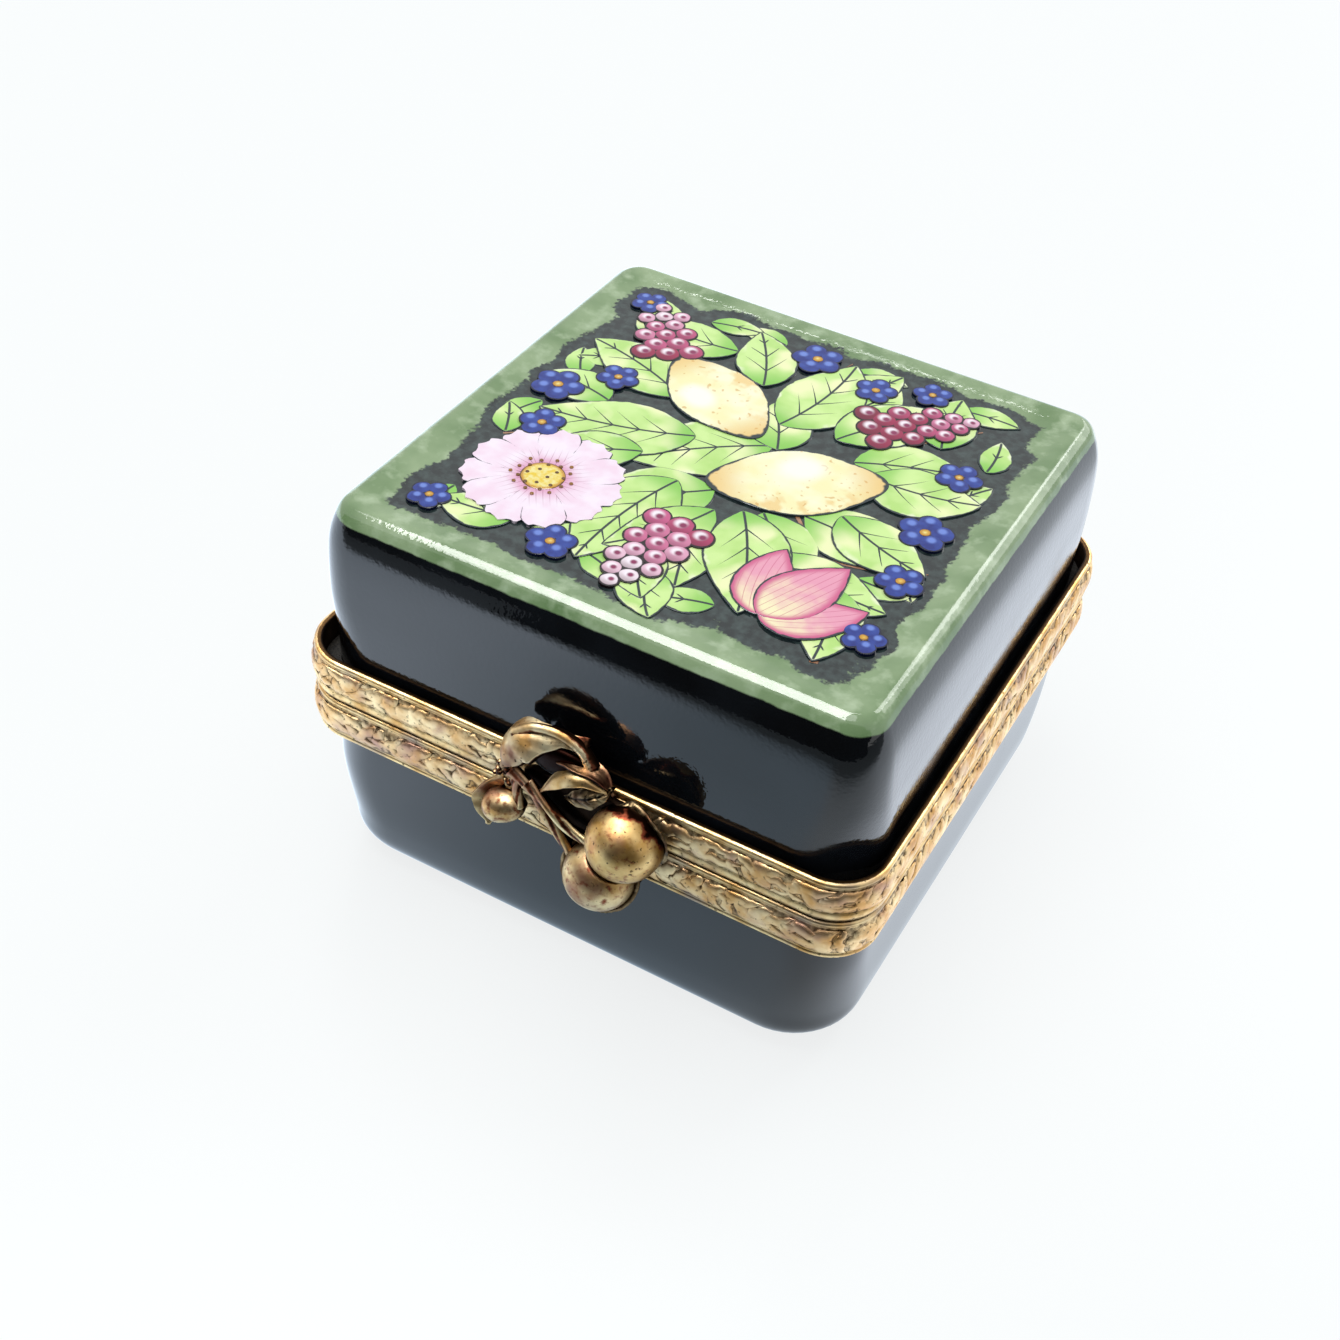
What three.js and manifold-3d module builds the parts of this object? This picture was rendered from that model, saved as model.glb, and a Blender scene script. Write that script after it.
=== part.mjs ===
// A small square trinket box of glazed porcelain in gilt brass mounts.
// The hinged lid is held by a clasp cast as a sprig of leaves and berries.
// Millimetres, +Z up. The origin is the centre of the flat underside,
// the hinge is on the +Y side and the clasp on the -Y side.
import * as THREE from "three";
import { mergeVertices } from "three/addons/utils/BufferGeometryUtils.js";
import Module from "manifold-3d";

const wasm = await Module();
wasm.setup();

// Porcelain
const BODY_HALF = 23.0;
const BODY_CORNER = 5.4;
const BASE_HEIGHT = 17.0;
const LID_HEIGHT = 15.6;
const WALL = 2.8;
const FLOOR = 2.6;
const LID_ROOF = 2.8;
const BELLY = 0.1;
const BELLY_CORNER = 4.9;
const RIM_INSET = 0.2;
const RIM_STEP = 1.6;
const LID_DRAFT = 0.15;
const LID_SHOULDER = 0.5;
const LID_EDGE_INSET = 2.1;
const LID_EDGE_DROP = 3.0;
const TOP_CORNER = 3.1;
const FOOT_INSET = 4.0;
const FOOT_RISE = 4.6;
const FOOT_CORNER = 5.0;
const CAVITY_CORNER = 1.6;
const CAVITY_ROUND = 1.6;

// Brass mounts round both rims
const BAND_GAP = 0.35;
const BAND_WALL = 0.45;
const BAND_BULGE = 0.6;
const BAND_HEIGHT = 3.6;
const BAND_CORNER = 3.9;
const BAND_FLAT = 1.2;
const FLANGE = 0.6;
const FLANGE_OVERHANG = 0.3;
const PARTING_GAP = 0.4;
const CEMENT_GAP = 0.1;
const CEMENT_RECESS = 2.0;

// Hinge
const KNUCKLE_RADIUS = 1.1;
const KNUCKLE_LENGTH = 3.8;
const KNUCKLE_GAP = 0.2;
const KNUCKLE_COUNT = 5;
const HINGE_STANDOFF = 0.9;
const SADDLE_EDGE = 0.4;
const PIN_RADIUS = 0.5;
const PIN_CLEARANCE = 0.1;
const PIN_HEAD_RADIUS = 0.85;
const PIN_HEAD_LENGTH = 0.35;

// Catch
const TONGUE = 0.6;
const TONGUE_CLEARANCE = 0.3;
const CATCH_X = 3.6;
const STUD_RADIUS = 0.6;
const STUD_HEIGHT = 0.22;
const STUD_PLAY = 0.35;
const PAD_WIDTH = 7.0;

// Cast sprig on the tongue
const PIECE_GAP = 0.06;
const SPRIG_UNIT = 1.0;
const LARGE_BERRY_RADIUS = 2.9;
const LOW_BERRY_RADIUS = 2.75;
const BUD_RADIUS = 1.22;
const BUD_STRETCH = 1.6;
const HUSK_WALL = 0.28;
const STEM_RADIUS = 0.33;
const UPPER_LEAF_WIDTH = 1.65;
const UPPER_LEAF_THICKNESS = 0.7;
const CURL_WIDTH = 0.9;
const LIP_WIDTH = 0.7;
const ROLL_WIDTH = 0.8;
const BRACT_WIDTH = 1.5;
const THIN_LEAF = 0.38;

// Levels and planes that follow from the sizes above
const PARTING = BASE_HEIGHT + CEMENT_GAP + FLANGE + PARTING_GAP / 2;
const LID_RIM = PARTING + PARTING_GAP / 2 + FLANGE + CEMENT_GAP;
const LID_TOP = LID_RIM + LID_HEIGHT;
const BAND_INNER = BODY_HALF + BAND_GAP;
const BAND_HALF = BAND_INNER + BAND_WALL;
const BAND_FACE = BAND_HALF + BAND_BULGE;
const BAND_STRAIGHT = BAND_HALF - BAND_CORNER;
const BAND_MIDDLE = BAND_HEIGHT / 2;
const CAVITY_HALF = BODY_HALF - WALL;
const TONGUE_BACK = -(BAND_FACE + TONGUE_CLEARANCE);
const TONGUE_FRONT = TONGUE_BACK - TONGUE;
const STUD_Z = PARTING - PARTING_GAP / 2 - BAND_MIDDLE;

const ARC_STEPS = 6;
const X_AXIS = new THREE.Vector3(1, 0, 0);
const Y_AXIS = new THREE.Vector3(0, 1, 0);
const Z_AXIS = new THREE.Vector3(0, 0, 1);

const glaze = { color: 0x14161a, roughness: 0.08, metalness: 0 };
const gilt = { color: 0xb48a4c, roughness: 0.35, metalness: 1 };
const antique = { color: 0x9c7440, roughness: 0.42, metalness: 1 };
const dark = { color: 0x4a3020, roughness: 0.6, metalness: 1 };
const plaster = { color: 0xcfc8b8, roughness: 0.9, metalness: 0 };

const box = new THREE.Group();

// Adds a sub-part in its own material.
function addPart(name, geometry, look) {
  const mesh = new THREE.Mesh(geometry, new THREE.MeshStandardMaterial(look));
  mesh.name = name;
  box.add(mesh);
  return mesh;
}

// Turns a closed geometry into a solid that can be joined and cut.
function solidFrom(geometry) {
  const bare = geometry.clone();
  bare.deleteAttribute("normal");
  bare.deleteAttribute("uv");
  const merged = mergeVertices(bare, 1e-5);
  const vertProperties = new Float32Array(merged.attributes.position.array);
  const triVerts = new Uint32Array(merged.index.array);
  return new wasm.Manifold(new wasm.Mesh({ numProp: 3, vertProperties, triVerts }));
}

function geometryFrom(solid) {
  const mesh = solid.getMesh();
  const geometry = new THREE.BufferGeometry();
  geometry.setAttribute("position", new THREE.BufferAttribute(mesh.vertProperties, 3));
  geometry.setIndex(new THREE.BufferAttribute(mesh.triVerts, 1));
  const shaded = geometry.toNonIndexed();
  shaded.computeVertexNormals();
  return shaded;
}

// Corner points of one level of a square with rounded corners.
function squareRing({ half, corner, z }) {
  const points = [];
  for (let quarter = 0; quarter < 4; quarter += 1) {
    for (let step = 0; step <= ARC_STEPS; step += 1) {
      const angle = (quarter + step / ARC_STEPS) * (Math.PI / 2);
      const sideX = quarter === 0 || quarter === 3 ? 1 : -1;
      const sideY = quarter < 2 ? 1 : -1;
      const x = sideX * (half - corner) + corner * Math.cos(angle);
      const y = sideY * (half - corner) + corner * Math.sin(angle);
      points.push(new THREE.Vector3(x, y, z));
    }
  }
  return points;
}

// Skins rings of equal point counts. Open stacks are capped; closed loops join last to first.
function skin(rings, closed) {
  const count = rings[0].length;
  const positions = rings.flat().flatMap((p) => [p.x, p.y, p.z]);
  const faces = [];
  const bands = closed ? rings.length : rings.length - 1;
  for (let level = 0; level < bands; level += 1) {
    const low = level * count;
    const high = ((level + 1) % rings.length) * count;
    for (let i = 0; i < count; i += 1) {
      const j = (i + 1) % count;
      faces.push(low + i, low + j, high + j);
      faces.push(low + i, high + j, high + i);
    }
  }
  if (!closed) {
    const top = (rings.length - 1) * count;
    for (let i = 1; i < count - 1; i += 1) {
      faces.push(0, i + 1, i);
      faces.push(top, top + i, top + i + 1);
    }
  }
  const geometry = new THREE.BufferGeometry();
  geometry.setAttribute("position", new THREE.Float32BufferAttribute(positions, 3));
  geometry.setIndex(faces);
  return geometry;
}

// A solid whose levels are rounded squares, listed upwards as [inset, height, corner].
function squareStack(levels) {
  const rings = levels.map(([inset, z, corner]) =>
    squareRing({ half: BODY_HALF - inset, corner: corner ?? BODY_CORNER - inset, z }),
  );
  return solidFrom(skin(rings, false));
}

// The space inside a porcelain shell, from its closed end to well past its open rim.
function cavity(closedZ, openZ) {
  const way = Math.sign(openZ - closedZ);
  const levels = [
    [CAVITY_ROUND, 0],
    [CAVITY_ROUND * 0.3, CAVITY_ROUND * 0.3],
    [0, CAVITY_ROUND],
  ].map(([inset, rise]) => ({ half: CAVITY_HALF - inset, corner: CAVITY_CORNER, z: closedZ + way * rise }));
  levels.push({ half: CAVITY_HALF, corner: CAVITY_CORNER, z: openZ + way * FLANGE });
  if (way < 0) levels.reverse();
  return solidFrom(skin(levels.map(squareRing), false));
}

function makeBaseShell() {
  const shoulder = BASE_HEIGHT - RIM_STEP;
  const outside = squareStack([
    [FOOT_INSET, 0, FOOT_CORNER],
    [FOOT_INSET * 0.64, FOOT_RISE * 0.075, FOOT_CORNER * 1.04],
    [FOOT_INSET * 0.325, FOOT_RISE * 0.26, FOOT_CORNER * 1.08],
    [FOOT_INSET * 0.11, FOOT_RISE * 0.52, FOOT_CORNER * 1.14],
    [FOOT_INSET * 0.0125, FOOT_RISE, FOOT_CORNER * 1.22],
    [-BELLY, (FOOT_RISE + shoulder) / 2, BELLY_CORNER],
    [0, shoulder],
    [RIM_INSET, BASE_HEIGHT],
  ]);
  return geometryFrom(outside.subtract(cavity(FLOOR, BASE_HEIGHT)));
}

function makeLidShell() {
  const waist = LID_RIM + BAND_HEIGHT;
  const shoulder = LID_TOP - LID_EDGE_DROP;
  const levels = [
    [RIM_INSET, LID_RIM],
    [0, LID_RIM + RIM_STEP],
    [LID_DRAFT * 0.2, waist, BODY_CORNER - RIM_INSET],
    [LID_DRAFT, (waist + shoulder) / 2, TOP_CORNER * 1.25],
    [LID_SHOULDER, shoulder, TOP_CORNER],
  ];
  const rounding = [
    [0.31, 0.43],
    [0.625, 0.12],
    [1, 0],
  ];
  for (const [share, drop] of rounding) {
    const turn = (LID_EDGE_INSET - LID_SHOULDER) * share;
    levels.push([LID_SHOULDER + turn, LID_TOP - LID_EDGE_DROP * drop, TOP_CORNER - turn]);
  }
  return geometryFrom(squareStack(levels).subtract(cavity(LID_TOP - LID_ROOF, LID_RIM)));
}

// A mount has a bowed wall outside the rim and a flat flange over it.
// The section runs from the parting face away from it; way is -1 below and +1 above.
function makeBand(way) {
  const face = PARTING + (way * PARTING_GAP) / 2;
  const bow = (BAND_HEIGHT - BAND_FLAT) / 2;
  const flangeHalf = CAVITY_HALF + FLANGE_OVERHANG;
  const section = [
    [BAND_HALF, 0],
    [BAND_HALF + BAND_BULGE * 0.65, bow * 0.5],
    [BAND_FACE, bow],
    [BAND_FACE, bow + BAND_FLAT],
    [BAND_HALF + BAND_BULGE * 0.65, BAND_HEIGHT - bow * 0.5],
    [BAND_HALF, BAND_HEIGHT],
    [BAND_INNER, BAND_HEIGHT],
    [BAND_INNER, FLANGE],
  ].map(([half, away]) => ({ half, corner: half - BAND_STRAIGHT, z: face + way * away }));
  section.push({ half: flangeHalf, corner: CAVITY_CORNER, z: face + way * FLANGE });
  section.push({ half: flangeHalf, corner: CAVITY_CORNER, z: face });
  if (way < 0) section.reverse();
  return skin(section.map(squareRing), true);
}

// Cement fills the gap between porcelain and mount, recessed from the mount's free edge.
function makeBedding(way) {
  const near = PARTING + way * (PARTING_GAP / 2 + FLANGE + CEMENT_GAP);
  const far = PARTING + way * (PARTING_GAP / 2 + BAND_HEIGHT - CEMENT_RECESS);
  const outer = BAND_INNER - CEMENT_GAP;
  const section = [
    { half: BODY_HALF, corner: BODY_CORNER, z: near },
    { half: outer, corner: outer - BAND_STRAIGHT, z: near },
    { half: outer, corner: outer - BAND_STRAIGHT, z: far },
    { half: BODY_HALF, corner: BODY_CORNER, z: far },
  ];
  if (way < 0) section.reverse();
  return skin(section.map(squareRing), true);
}

// A rod or tube blank along X.
function rodAlongX(radius, length, sides) {
  const rod = new THREE.CylinderGeometry(radius, radius, length, sides);
  rod.rotateZ(Math.PI / 2);
  return rod;
}

// A knuckle is a tube with a wedge-shaped saddle soldered against the flat of its band.
function makeKnuckle(index) {
  const way = index % 2 === 0 ? -1 : 1;
  const pitch = KNUCKLE_LENGTH + KNUCKLE_GAP;
  const x = (index - (KNUCKLE_COUNT - 1) / 2) * pitch;
  const reach = PARTING_GAP / 2 + BAND_MIDDLE + BAND_FLAT / 2;
  const wedge = new THREE.Shape(
    [
      [-HINGE_STANDOFF, reach],
      [-HINGE_STANDOFF, KNUCKLE_RADIUS * 0.6],
      [0, KNUCKLE_RADIUS * 0.6],
      [KNUCKLE_RADIUS * 0.9, KNUCKLE_RADIUS * 0.3],
      [SADDLE_EDGE - HINGE_STANDOFF, reach],
    ].map(([y, z]) => new THREE.Vector2(y, way * z)),
  );
  const saddle = new THREE.ExtrudeGeometry(wedge, { depth: KNUCKLE_LENGTH, bevelEnabled: false });
  saddle.translate(0, 0, -KNUCKLE_LENGTH / 2);
  saddle.applyMatrix4(new THREE.Matrix4().makeBasis(Y_AXIS, Z_AXIS, X_AXIS));
  const tube = rodAlongX(KNUCKLE_RADIUS, KNUCKLE_LENGTH, 24);
  const bore = rodAlongX(PIN_RADIUS + PIN_CLEARANCE, 2 * KNUCKLE_LENGTH, 24);
  const solid = solidFrom(tube).add(solidFrom(saddle)).subtract(solidFrom(bore));
  const geometry = geometryFrom(solid);
  geometry.translate(x, BAND_FACE + HINGE_STANDOFF, PARTING);
  return geometry;
}

function makePin() {
  const half = (KNUCKLE_COUNT * KNUCKLE_LENGTH + (KNUCKLE_COUNT + 1) * KNUCKLE_GAP) / 2;
  const end = half + PIN_HEAD_LENGTH;
  const profile = [
    new THREE.Vector2(0, -end),
    new THREE.Vector2(PIN_HEAD_RADIUS * 0.7, -end + PIN_HEAD_LENGTH * 0.2),
    new THREE.Vector2(PIN_HEAD_RADIUS, -half),
    new THREE.Vector2(PIN_RADIUS, -half),
    new THREE.Vector2(PIN_RADIUS, half),
    new THREE.Vector2(PIN_HEAD_RADIUS, half),
    new THREE.Vector2(PIN_HEAD_RADIUS * 0.7, end - PIN_HEAD_LENGTH * 0.2),
    new THREE.Vector2(0, end),
  ];
  const pin = new THREE.LatheGeometry(profile, 20);
  pin.rotateZ(Math.PI / 2);
  pin.translate(0, BAND_FACE + HINGE_STANDOFF, PARTING);
  return pin;
}

// A low dome on the base band, which the tongue's hole drops over.
function makeStud() {
  const profile = [
    new THREE.Vector2(0, 0),
    new THREE.Vector2(STUD_RADIUS, 0),
    new THREE.Vector2(STUD_RADIUS * 0.85, STUD_HEIGHT * 0.6),
    new THREE.Vector2(STUD_RADIUS * 0.4, STUD_HEIGHT * 0.95),
    new THREE.Vector2(0, STUD_HEIGHT),
  ];
  const stud = new THREE.LatheGeometry(profile, 20);
  stud.rotateX(Math.PI);
  stud.translate(CATCH_X, -BAND_FACE, STUD_Z);
  return stud;
}

// A point of the sprig, in sprig units: x along the front, out from the tongue's face, up
// from the parting.
function sprigPoint([x, out, up]) {
  const place = new THREE.Vector3(x, -out, up).multiplyScalar(SPRIG_UNIT);
  return place.add(new THREE.Vector3(0, TONGUE_FRONT, PARTING));
}

// The tongue hangs from a pad on the lid band, a running gap in front of the base band.
// It stays hidden behind the sprig that it carries.
const tongueOutline = [
  [-2.4, 3.4],
  [0.5, 3.9],
  [4.5, 4.0],
  [7.8, 3.3],
  [8.8, 1.6],
  [8.2, -0.9],
  [7.0, -3.7],
  [5.0, -4.6],
  [3.0, -4.1],
  [1.7, -2.6],
  [0.3, -0.6],
  [-1.3, 1.4],
];
const TONGUE_TOP = 4.1;

function makeTongue() {
  const corners = tongueOutline.map(([x, up]) => new THREE.Vector3(x, PARTING + up, 0));
  const outline = new THREE.CatmullRomCurve3(corners, true).getPoints(36).slice(0, -1);
  const shape = new THREE.Shape(outline.map((p) => new THREE.Vector2(p.x, p.y)));
  const plate = new THREE.ExtrudeGeometry(shape, { depth: TONGUE, bevelEnabled: false });
  plate.rotateX(Math.PI / 2);
  plate.translate(0, TONGUE_BACK, 0);
  const padDepth = TONGUE_CLEARANCE + TONGUE / 2;
  const pad = new THREE.BoxGeometry(PAD_WIDTH, padDepth, BAND_FLAT);
  pad.translate(CATCH_X, -BAND_FACE - padDepth / 2, 2 * PARTING - STUD_Z);
  const holeRadius = STUD_RADIUS + STUD_PLAY;
  const hole = new THREE.CylinderGeometry(holeRadius, holeRadius, 4 * TONGUE, 20);
  hole.translate(CATCH_X, TONGUE_BACK, STUD_Z);
  return geometryFrom(solidFrom(plate).add(solidFrom(pad)).subtract(solidFrom(hole)));
}

// Cuts away what would lie behind the tongue's face, up to the tongue's top.
function clearOfTongue(solid) {
  const size = 4 * BODY_HALF;
  const block = new THREE.BoxGeometry(size, size, size);
  const top = PARTING + TONGUE_TOP + PIECE_GAP;
  block.translate(0, TONGUE_FRONT - PIECE_GAP + size / 2, top - size / 2);
  return solid.subtract(solidFrom(block));
}

const largeBerry = sprigPoint([6.45, 0.6, 1.4]);
const lowBerry = sprigPoint([4.6, 0.6, -2.9]);
const bud = sprigPoint([-4.0, 0.6, -0.6]);

function sphereAt(centre, radius) {
  const sphere = new THREE.SphereGeometry(radius, 20, 14);
  sphere.translate(centre.x, centre.y, centre.z);
  return solidFrom(sphere);
}

// The part of a solid on the near side of a plane through the centre, moved along direction.
function beyondPlane(solid, centre, direction, offset) {
  const size = 8 * LARGE_BERRY_RADIUS;
  const half = new THREE.BoxGeometry(size, size, size);
  half.translate(0, offset - size / 2, 0);
  const turn = new THREE.Quaternion().setFromUnitVectors(Y_AXIS, direction.clone().normalize());
  half.applyQuaternion(turn);
  half.translate(centre.x, centre.y, centre.z);
  return solid.subtract(solidFrom(half));
}

// A husk is a thin bowl that holds a berry from behind.
function huskAt(centre, radius, direction, offset) {
  const outside = sphereAt(centre, radius + PIECE_GAP + HUSK_WALL);
  const bowl = outside.subtract(sphereAt(centre, radius + PIECE_GAP));
  return beyondPlane(bowl, centre, direction, offset);
}

// The room that a berry and its husk take from the pieces beside them.
function largeBerryRoom() {
  return sphereAt(largeBerry, LARGE_BERRY_RADIUS + HUSK_WALL + 2 * PIECE_GAP);
}

function lowBerryRoom() {
  return sphereAt(lowBerry, LOW_BERRY_RADIUS + HUSK_WALL + 2 * PIECE_GAP);
}

function makeLargeBerry() {
  return geometryFrom(clearOfTongue(sphereAt(largeBerry, LARGE_BERRY_RADIUS)));
}

function makeLargeHusk() {
  const husk = huskAt(largeBerry, LARGE_BERRY_RADIUS, new THREE.Vector3(0.25, 0.85, 0.3), 0.9);
  return geometryFrom(clearOfTongue(husk));
}

function makeLowBerry() {
  const berry = sphereAt(lowBerry, LOW_BERRY_RADIUS).subtract(largeBerryRoom());
  return geometryFrom(clearOfTongue(berry));
}

function makeLowHusk() {
  const husk = huskAt(lowBerry, LOW_BERRY_RADIUS, new THREE.Vector3(-0.1, 0.9, -0.3), -0.2);
  return geometryFrom(clearOfTongue(husk.subtract(largeBerryRoom())));
}

// The bud is an egg that points to its stalk.
function budSolid(grow) {
  const radius = BUD_RADIUS + grow;
  const profile = [new THREE.Vector2(0, -radius)];
  for (let step = 1; step < 8; step += 1) {
    const angle = -Math.PI / 2 + (step * Math.PI) / 8;
    const stretch = Math.sin(angle) > 0 ? BUD_STRETCH : 1;
    profile.push(new THREE.Vector2(radius * Math.cos(angle), radius * stretch * Math.sin(angle)));
  }
  profile.push(new THREE.Vector2(0, radius * BUD_STRETCH));
  const egg = new THREE.LatheGeometry(profile, 16);
  const axis = new THREE.Vector3(0.9, 0.05, 0.4).normalize();
  egg.applyQuaternion(new THREE.Quaternion().setFromUnitVectors(Y_AXIS, axis));
  egg.translate(bud.x, bud.y, bud.z);
  return solidFrom(egg);
}

function makeBud() {
  return geometryFrom(clearOfTongue(budSolid(0)));
}

// A leaf is an arched blade along its spine. The crown is the way its back faces, or the
// point that its back turns away from. Lean moves the widest place towards the tip, and
// blunt is the width that the blade starts with, as a share of its widest.
function leafSolid({ spine, crown, away, width, arch, thick, lean = 1, blunt = 0.15 }) {
  const steps = 10;
  const across = 6;
  const curve = new THREE.CatmullRomCurve3(spine.map(sprigPoint));
  const rings = [];
  for (let step = 0; step <= steps; step += 1) {
    const t = step / steps;
    const centre = curve.getPointAt(t);
    const tangent = curve.getTangentAt(t);
    const up = away ? centre.clone().sub(sprigPoint(away)) : new THREE.Vector3(...crown);
    up.addScaledVector(tangent, -up.dot(tangent)).normalize();
    const over = new THREE.Vector3().crossVectors(tangent, up);
    const share = Math.max(Math.sin(Math.PI * Math.pow(t, lean)), blunt * (1 - t), 0.15);
    const outer = [];
    const inner = [];
    for (let k = 0; k <= across; k += 1) {
      const s = (2 * k) / across - 1;
      const place = centre.clone().addScaledVector(over, s * width * share);
      place.addScaledVector(up, arch * (1 - s * s) * share);
      outer.push(place);
      inner.unshift(place.clone().addScaledVector(up, -thick));
    }
    rings.push([...outer, ...inner]);
  }
  return solidFrom(skin(rings, false));
}

function makeUpperLeaf() {
  const leaf = leafSolid({
    spine: [
      [2.3, -0.9, 7.2],
      [0.1, -0.5, 7.2],
      [-2.6, 0.1, 6.0],
      [-3.7, 0.9, 3.7],
    ],
    crown: [-0.3, -0.6, 0.7],
    width: UPPER_LEAF_WIDTH,
    arch: 0.7,
    thick: UPPER_LEAF_THICKNESS,
    lean: 1.8,
    blunt: 0.3,
  });
  return geometryFrom(leaf);
}

// The second leaf curls over like a hood. Its end rolls back as a lip under the hood, and
// the roll goes on below the lip.
function makeCurledLeaf() {
  const hood = leafSolid({
    spine: [
      [-0.3, -0.1, 5.0],
      [0.6, -0.1, 5.9],
      [1.9, -0.1, 6.2],
      [3.9, -0.1, 5.9],
      [5.0, 0.0, 4.6],
    ],
    away: [2.0, -0.1, 3.6],
    width: CURL_WIDTH,
    arch: 0,
    thick: THIN_LEAF,
  });
  const lip = leafSolid({
    spine: [
      [4.7, 0.3, 4.9],
      [2.8, 0.6, 5.6],
      [1.2, 0.8, 4.9],
      [-0.4, 0.9, 3.0],
    ],
    crown: [0.1, -0.5, 0.85],
    width: LIP_WIDTH,
    arch: 0.3,
    thick: THIN_LEAF,
  });
  const roll = leafSolid({
    spine: [
      [1.3, 0.5, 3.0],
      [2.9, 0.6, 3.8],
      [4.4, 0.4, 4.8],
      [4.8, 0.2, 5.4],
    ],
    crown: [-0.2, -0.9, 0.2],
    width: ROLL_WIDTH,
    arch: 0.4,
    thick: UPPER_LEAF_THICKNESS,
  });
  const curled = hood.add(lip).add(roll).subtract(largeBerryRoom());
  return geometryFrom(clearOfTongue(curled));
}

// A bract, a thin leaf, stands behind the bud.
function makeBract() {
  const bract = leafSolid({
    spine: [
      [-4.2, -0.1, 2.3],
      [-4.8, 0.2, -0.3],
      [-4.9, 0.8, -3.1],
    ],
    crown: [-0.45, 0.75, -0.1],
    width: BRACT_WIDTH,
    arch: 0.5,
    thick: THIN_LEAF,
  });
  return geometryFrom(clearOfTongue(bract.subtract(budSolid(PIECE_GAP))));
}

// Stems are round wires.
function wireSolid(points, radius) {
  const path = new THREE.CatmullRomCurve3(points.map(sprigPoint));
  const section = new THREE.Shape();
  section.absarc(0, 0, radius, 0, Math.PI * 2, false);
  const options = { steps: 10, extrudePath: path, bevelEnabled: false, curveSegments: 8 };
  return solidFrom(new THREE.ExtrudeGeometry(section, options));
}

const longStemPath = [
  [-3.0, 0.6, 3.6],
  [-1.6, 0.7, 2.9],
  [0.2, 0.7, 0.6],
  [2.1, 0.6, -2.0],
];

// The long stem runs down to the lower berry, and the bud's stalk leaves it near its top.
function makeLongStem() {
  const stalk = wireSolid(
    [
      [-2.7, 0.6, 3.3],
      [-2.6, 0.6, 1.8],
      [-2.2, 0.6, 0.3],
    ],
    STEM_RADIUS * 0.85,
  );
  const room = lowBerryRoom().add(budSolid(PIECE_GAP));
  return geometryFrom(wireSolid(longStemPath, STEM_RADIUS).add(stalk).subtract(room));
}

// The short stem forks off to the large berry.
function makeShortStem() {
  const path = [
    [-1.6, 0.7, 3.1],
    [0.4, 0.9, 1.7],
    [2.0, 0.8, 0.5],
    [3.8, 0.7, -0.1],
  ];
  const room = largeBerryRoom().add(wireSolid(longStemPath, STEM_RADIUS + PIECE_GAP));
  return geometryFrom(wireSolid(path, STEM_RADIUS).subtract(room));
}

addPart("base_shell", makeBaseShell(), glaze);
addPart("lid_shell", makeLidShell(), glaze);
addPart("base_band", makeBand(-1), gilt);
addPart("lid_band", makeBand(1), gilt);
addPart("base_bedding", makeBedding(-1), plaster);
addPart("lid_bedding", makeBedding(1), plaster);
for (let index = 0; index < KNUCKLE_COUNT; index += 1) {
  const side = index % 2 === 0 ? "base" : "lid";
  const number = Math.floor(index / 2) + 1;
  addPart(`${side}_knuckle_${number}`, makeKnuckle(index), antique);
}
addPart("hinge_pin", makePin(), antique);
addPart("catch_stud", makeStud(), gilt);
addPart("clasp_tongue", makeTongue(), dark);
addPart("clasp_upper_leaf", makeUpperLeaf(), antique);
addPart("clasp_curled_leaf", makeCurledLeaf(), antique);
addPart("clasp_long_stem", makeLongStem(), antique);
addPart("clasp_short_stem", makeShortStem(), antique);
addPart("clasp_large_berry", makeLargeBerry(), gilt);
addPart("large_berry_husk", makeLargeHusk(), dark);
addPart("clasp_low_berry", makeLowBerry(), gilt);
addPart("low_berry_husk", makeLowHusk(), dark);
addPart("clasp_bud", makeBud(), gilt);
addPart("bud_bract", makeBract(), antique);

export default box;
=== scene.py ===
# %% [markdown]
# A small square trinket box of glazed porcelain, black on its sides and hand painted on its lid.
# Two chased brass mounts hold the rims, a hinge joins them at the back, and a cast sprig of
# berries and leaves hides the catch at the front.
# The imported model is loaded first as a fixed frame, in metres, so that every piece made here goes
# straight to its place on the body that it moves with: "base" or "lid".

# %% Load the frame
import math
import random

import bmesh
import bpy
import numpy as np
from mathutils import Matrix, Vector
from mathutils.kdtree import KDTree


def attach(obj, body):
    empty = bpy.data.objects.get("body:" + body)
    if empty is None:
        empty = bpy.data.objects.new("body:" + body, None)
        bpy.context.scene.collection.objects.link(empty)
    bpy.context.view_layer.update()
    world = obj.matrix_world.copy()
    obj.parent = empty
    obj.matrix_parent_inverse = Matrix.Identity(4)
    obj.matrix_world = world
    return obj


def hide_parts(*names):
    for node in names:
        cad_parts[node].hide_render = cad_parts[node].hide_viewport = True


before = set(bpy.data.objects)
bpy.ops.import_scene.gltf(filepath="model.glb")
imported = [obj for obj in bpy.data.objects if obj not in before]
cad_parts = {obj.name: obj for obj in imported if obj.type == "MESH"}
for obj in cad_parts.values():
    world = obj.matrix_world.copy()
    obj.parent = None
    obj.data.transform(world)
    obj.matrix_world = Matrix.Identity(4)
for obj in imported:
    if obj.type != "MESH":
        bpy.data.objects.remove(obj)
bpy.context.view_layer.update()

MM = 0.001

# %% [markdown]
# The camera stands where the photographer's did: in front, to the right and above, looking down at
# about 41 degrees with the frame tipped a little. A lens and a sensor give the angle of view, and a
# rotation made of three plain axes is easier to check than three Euler angles.

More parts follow.
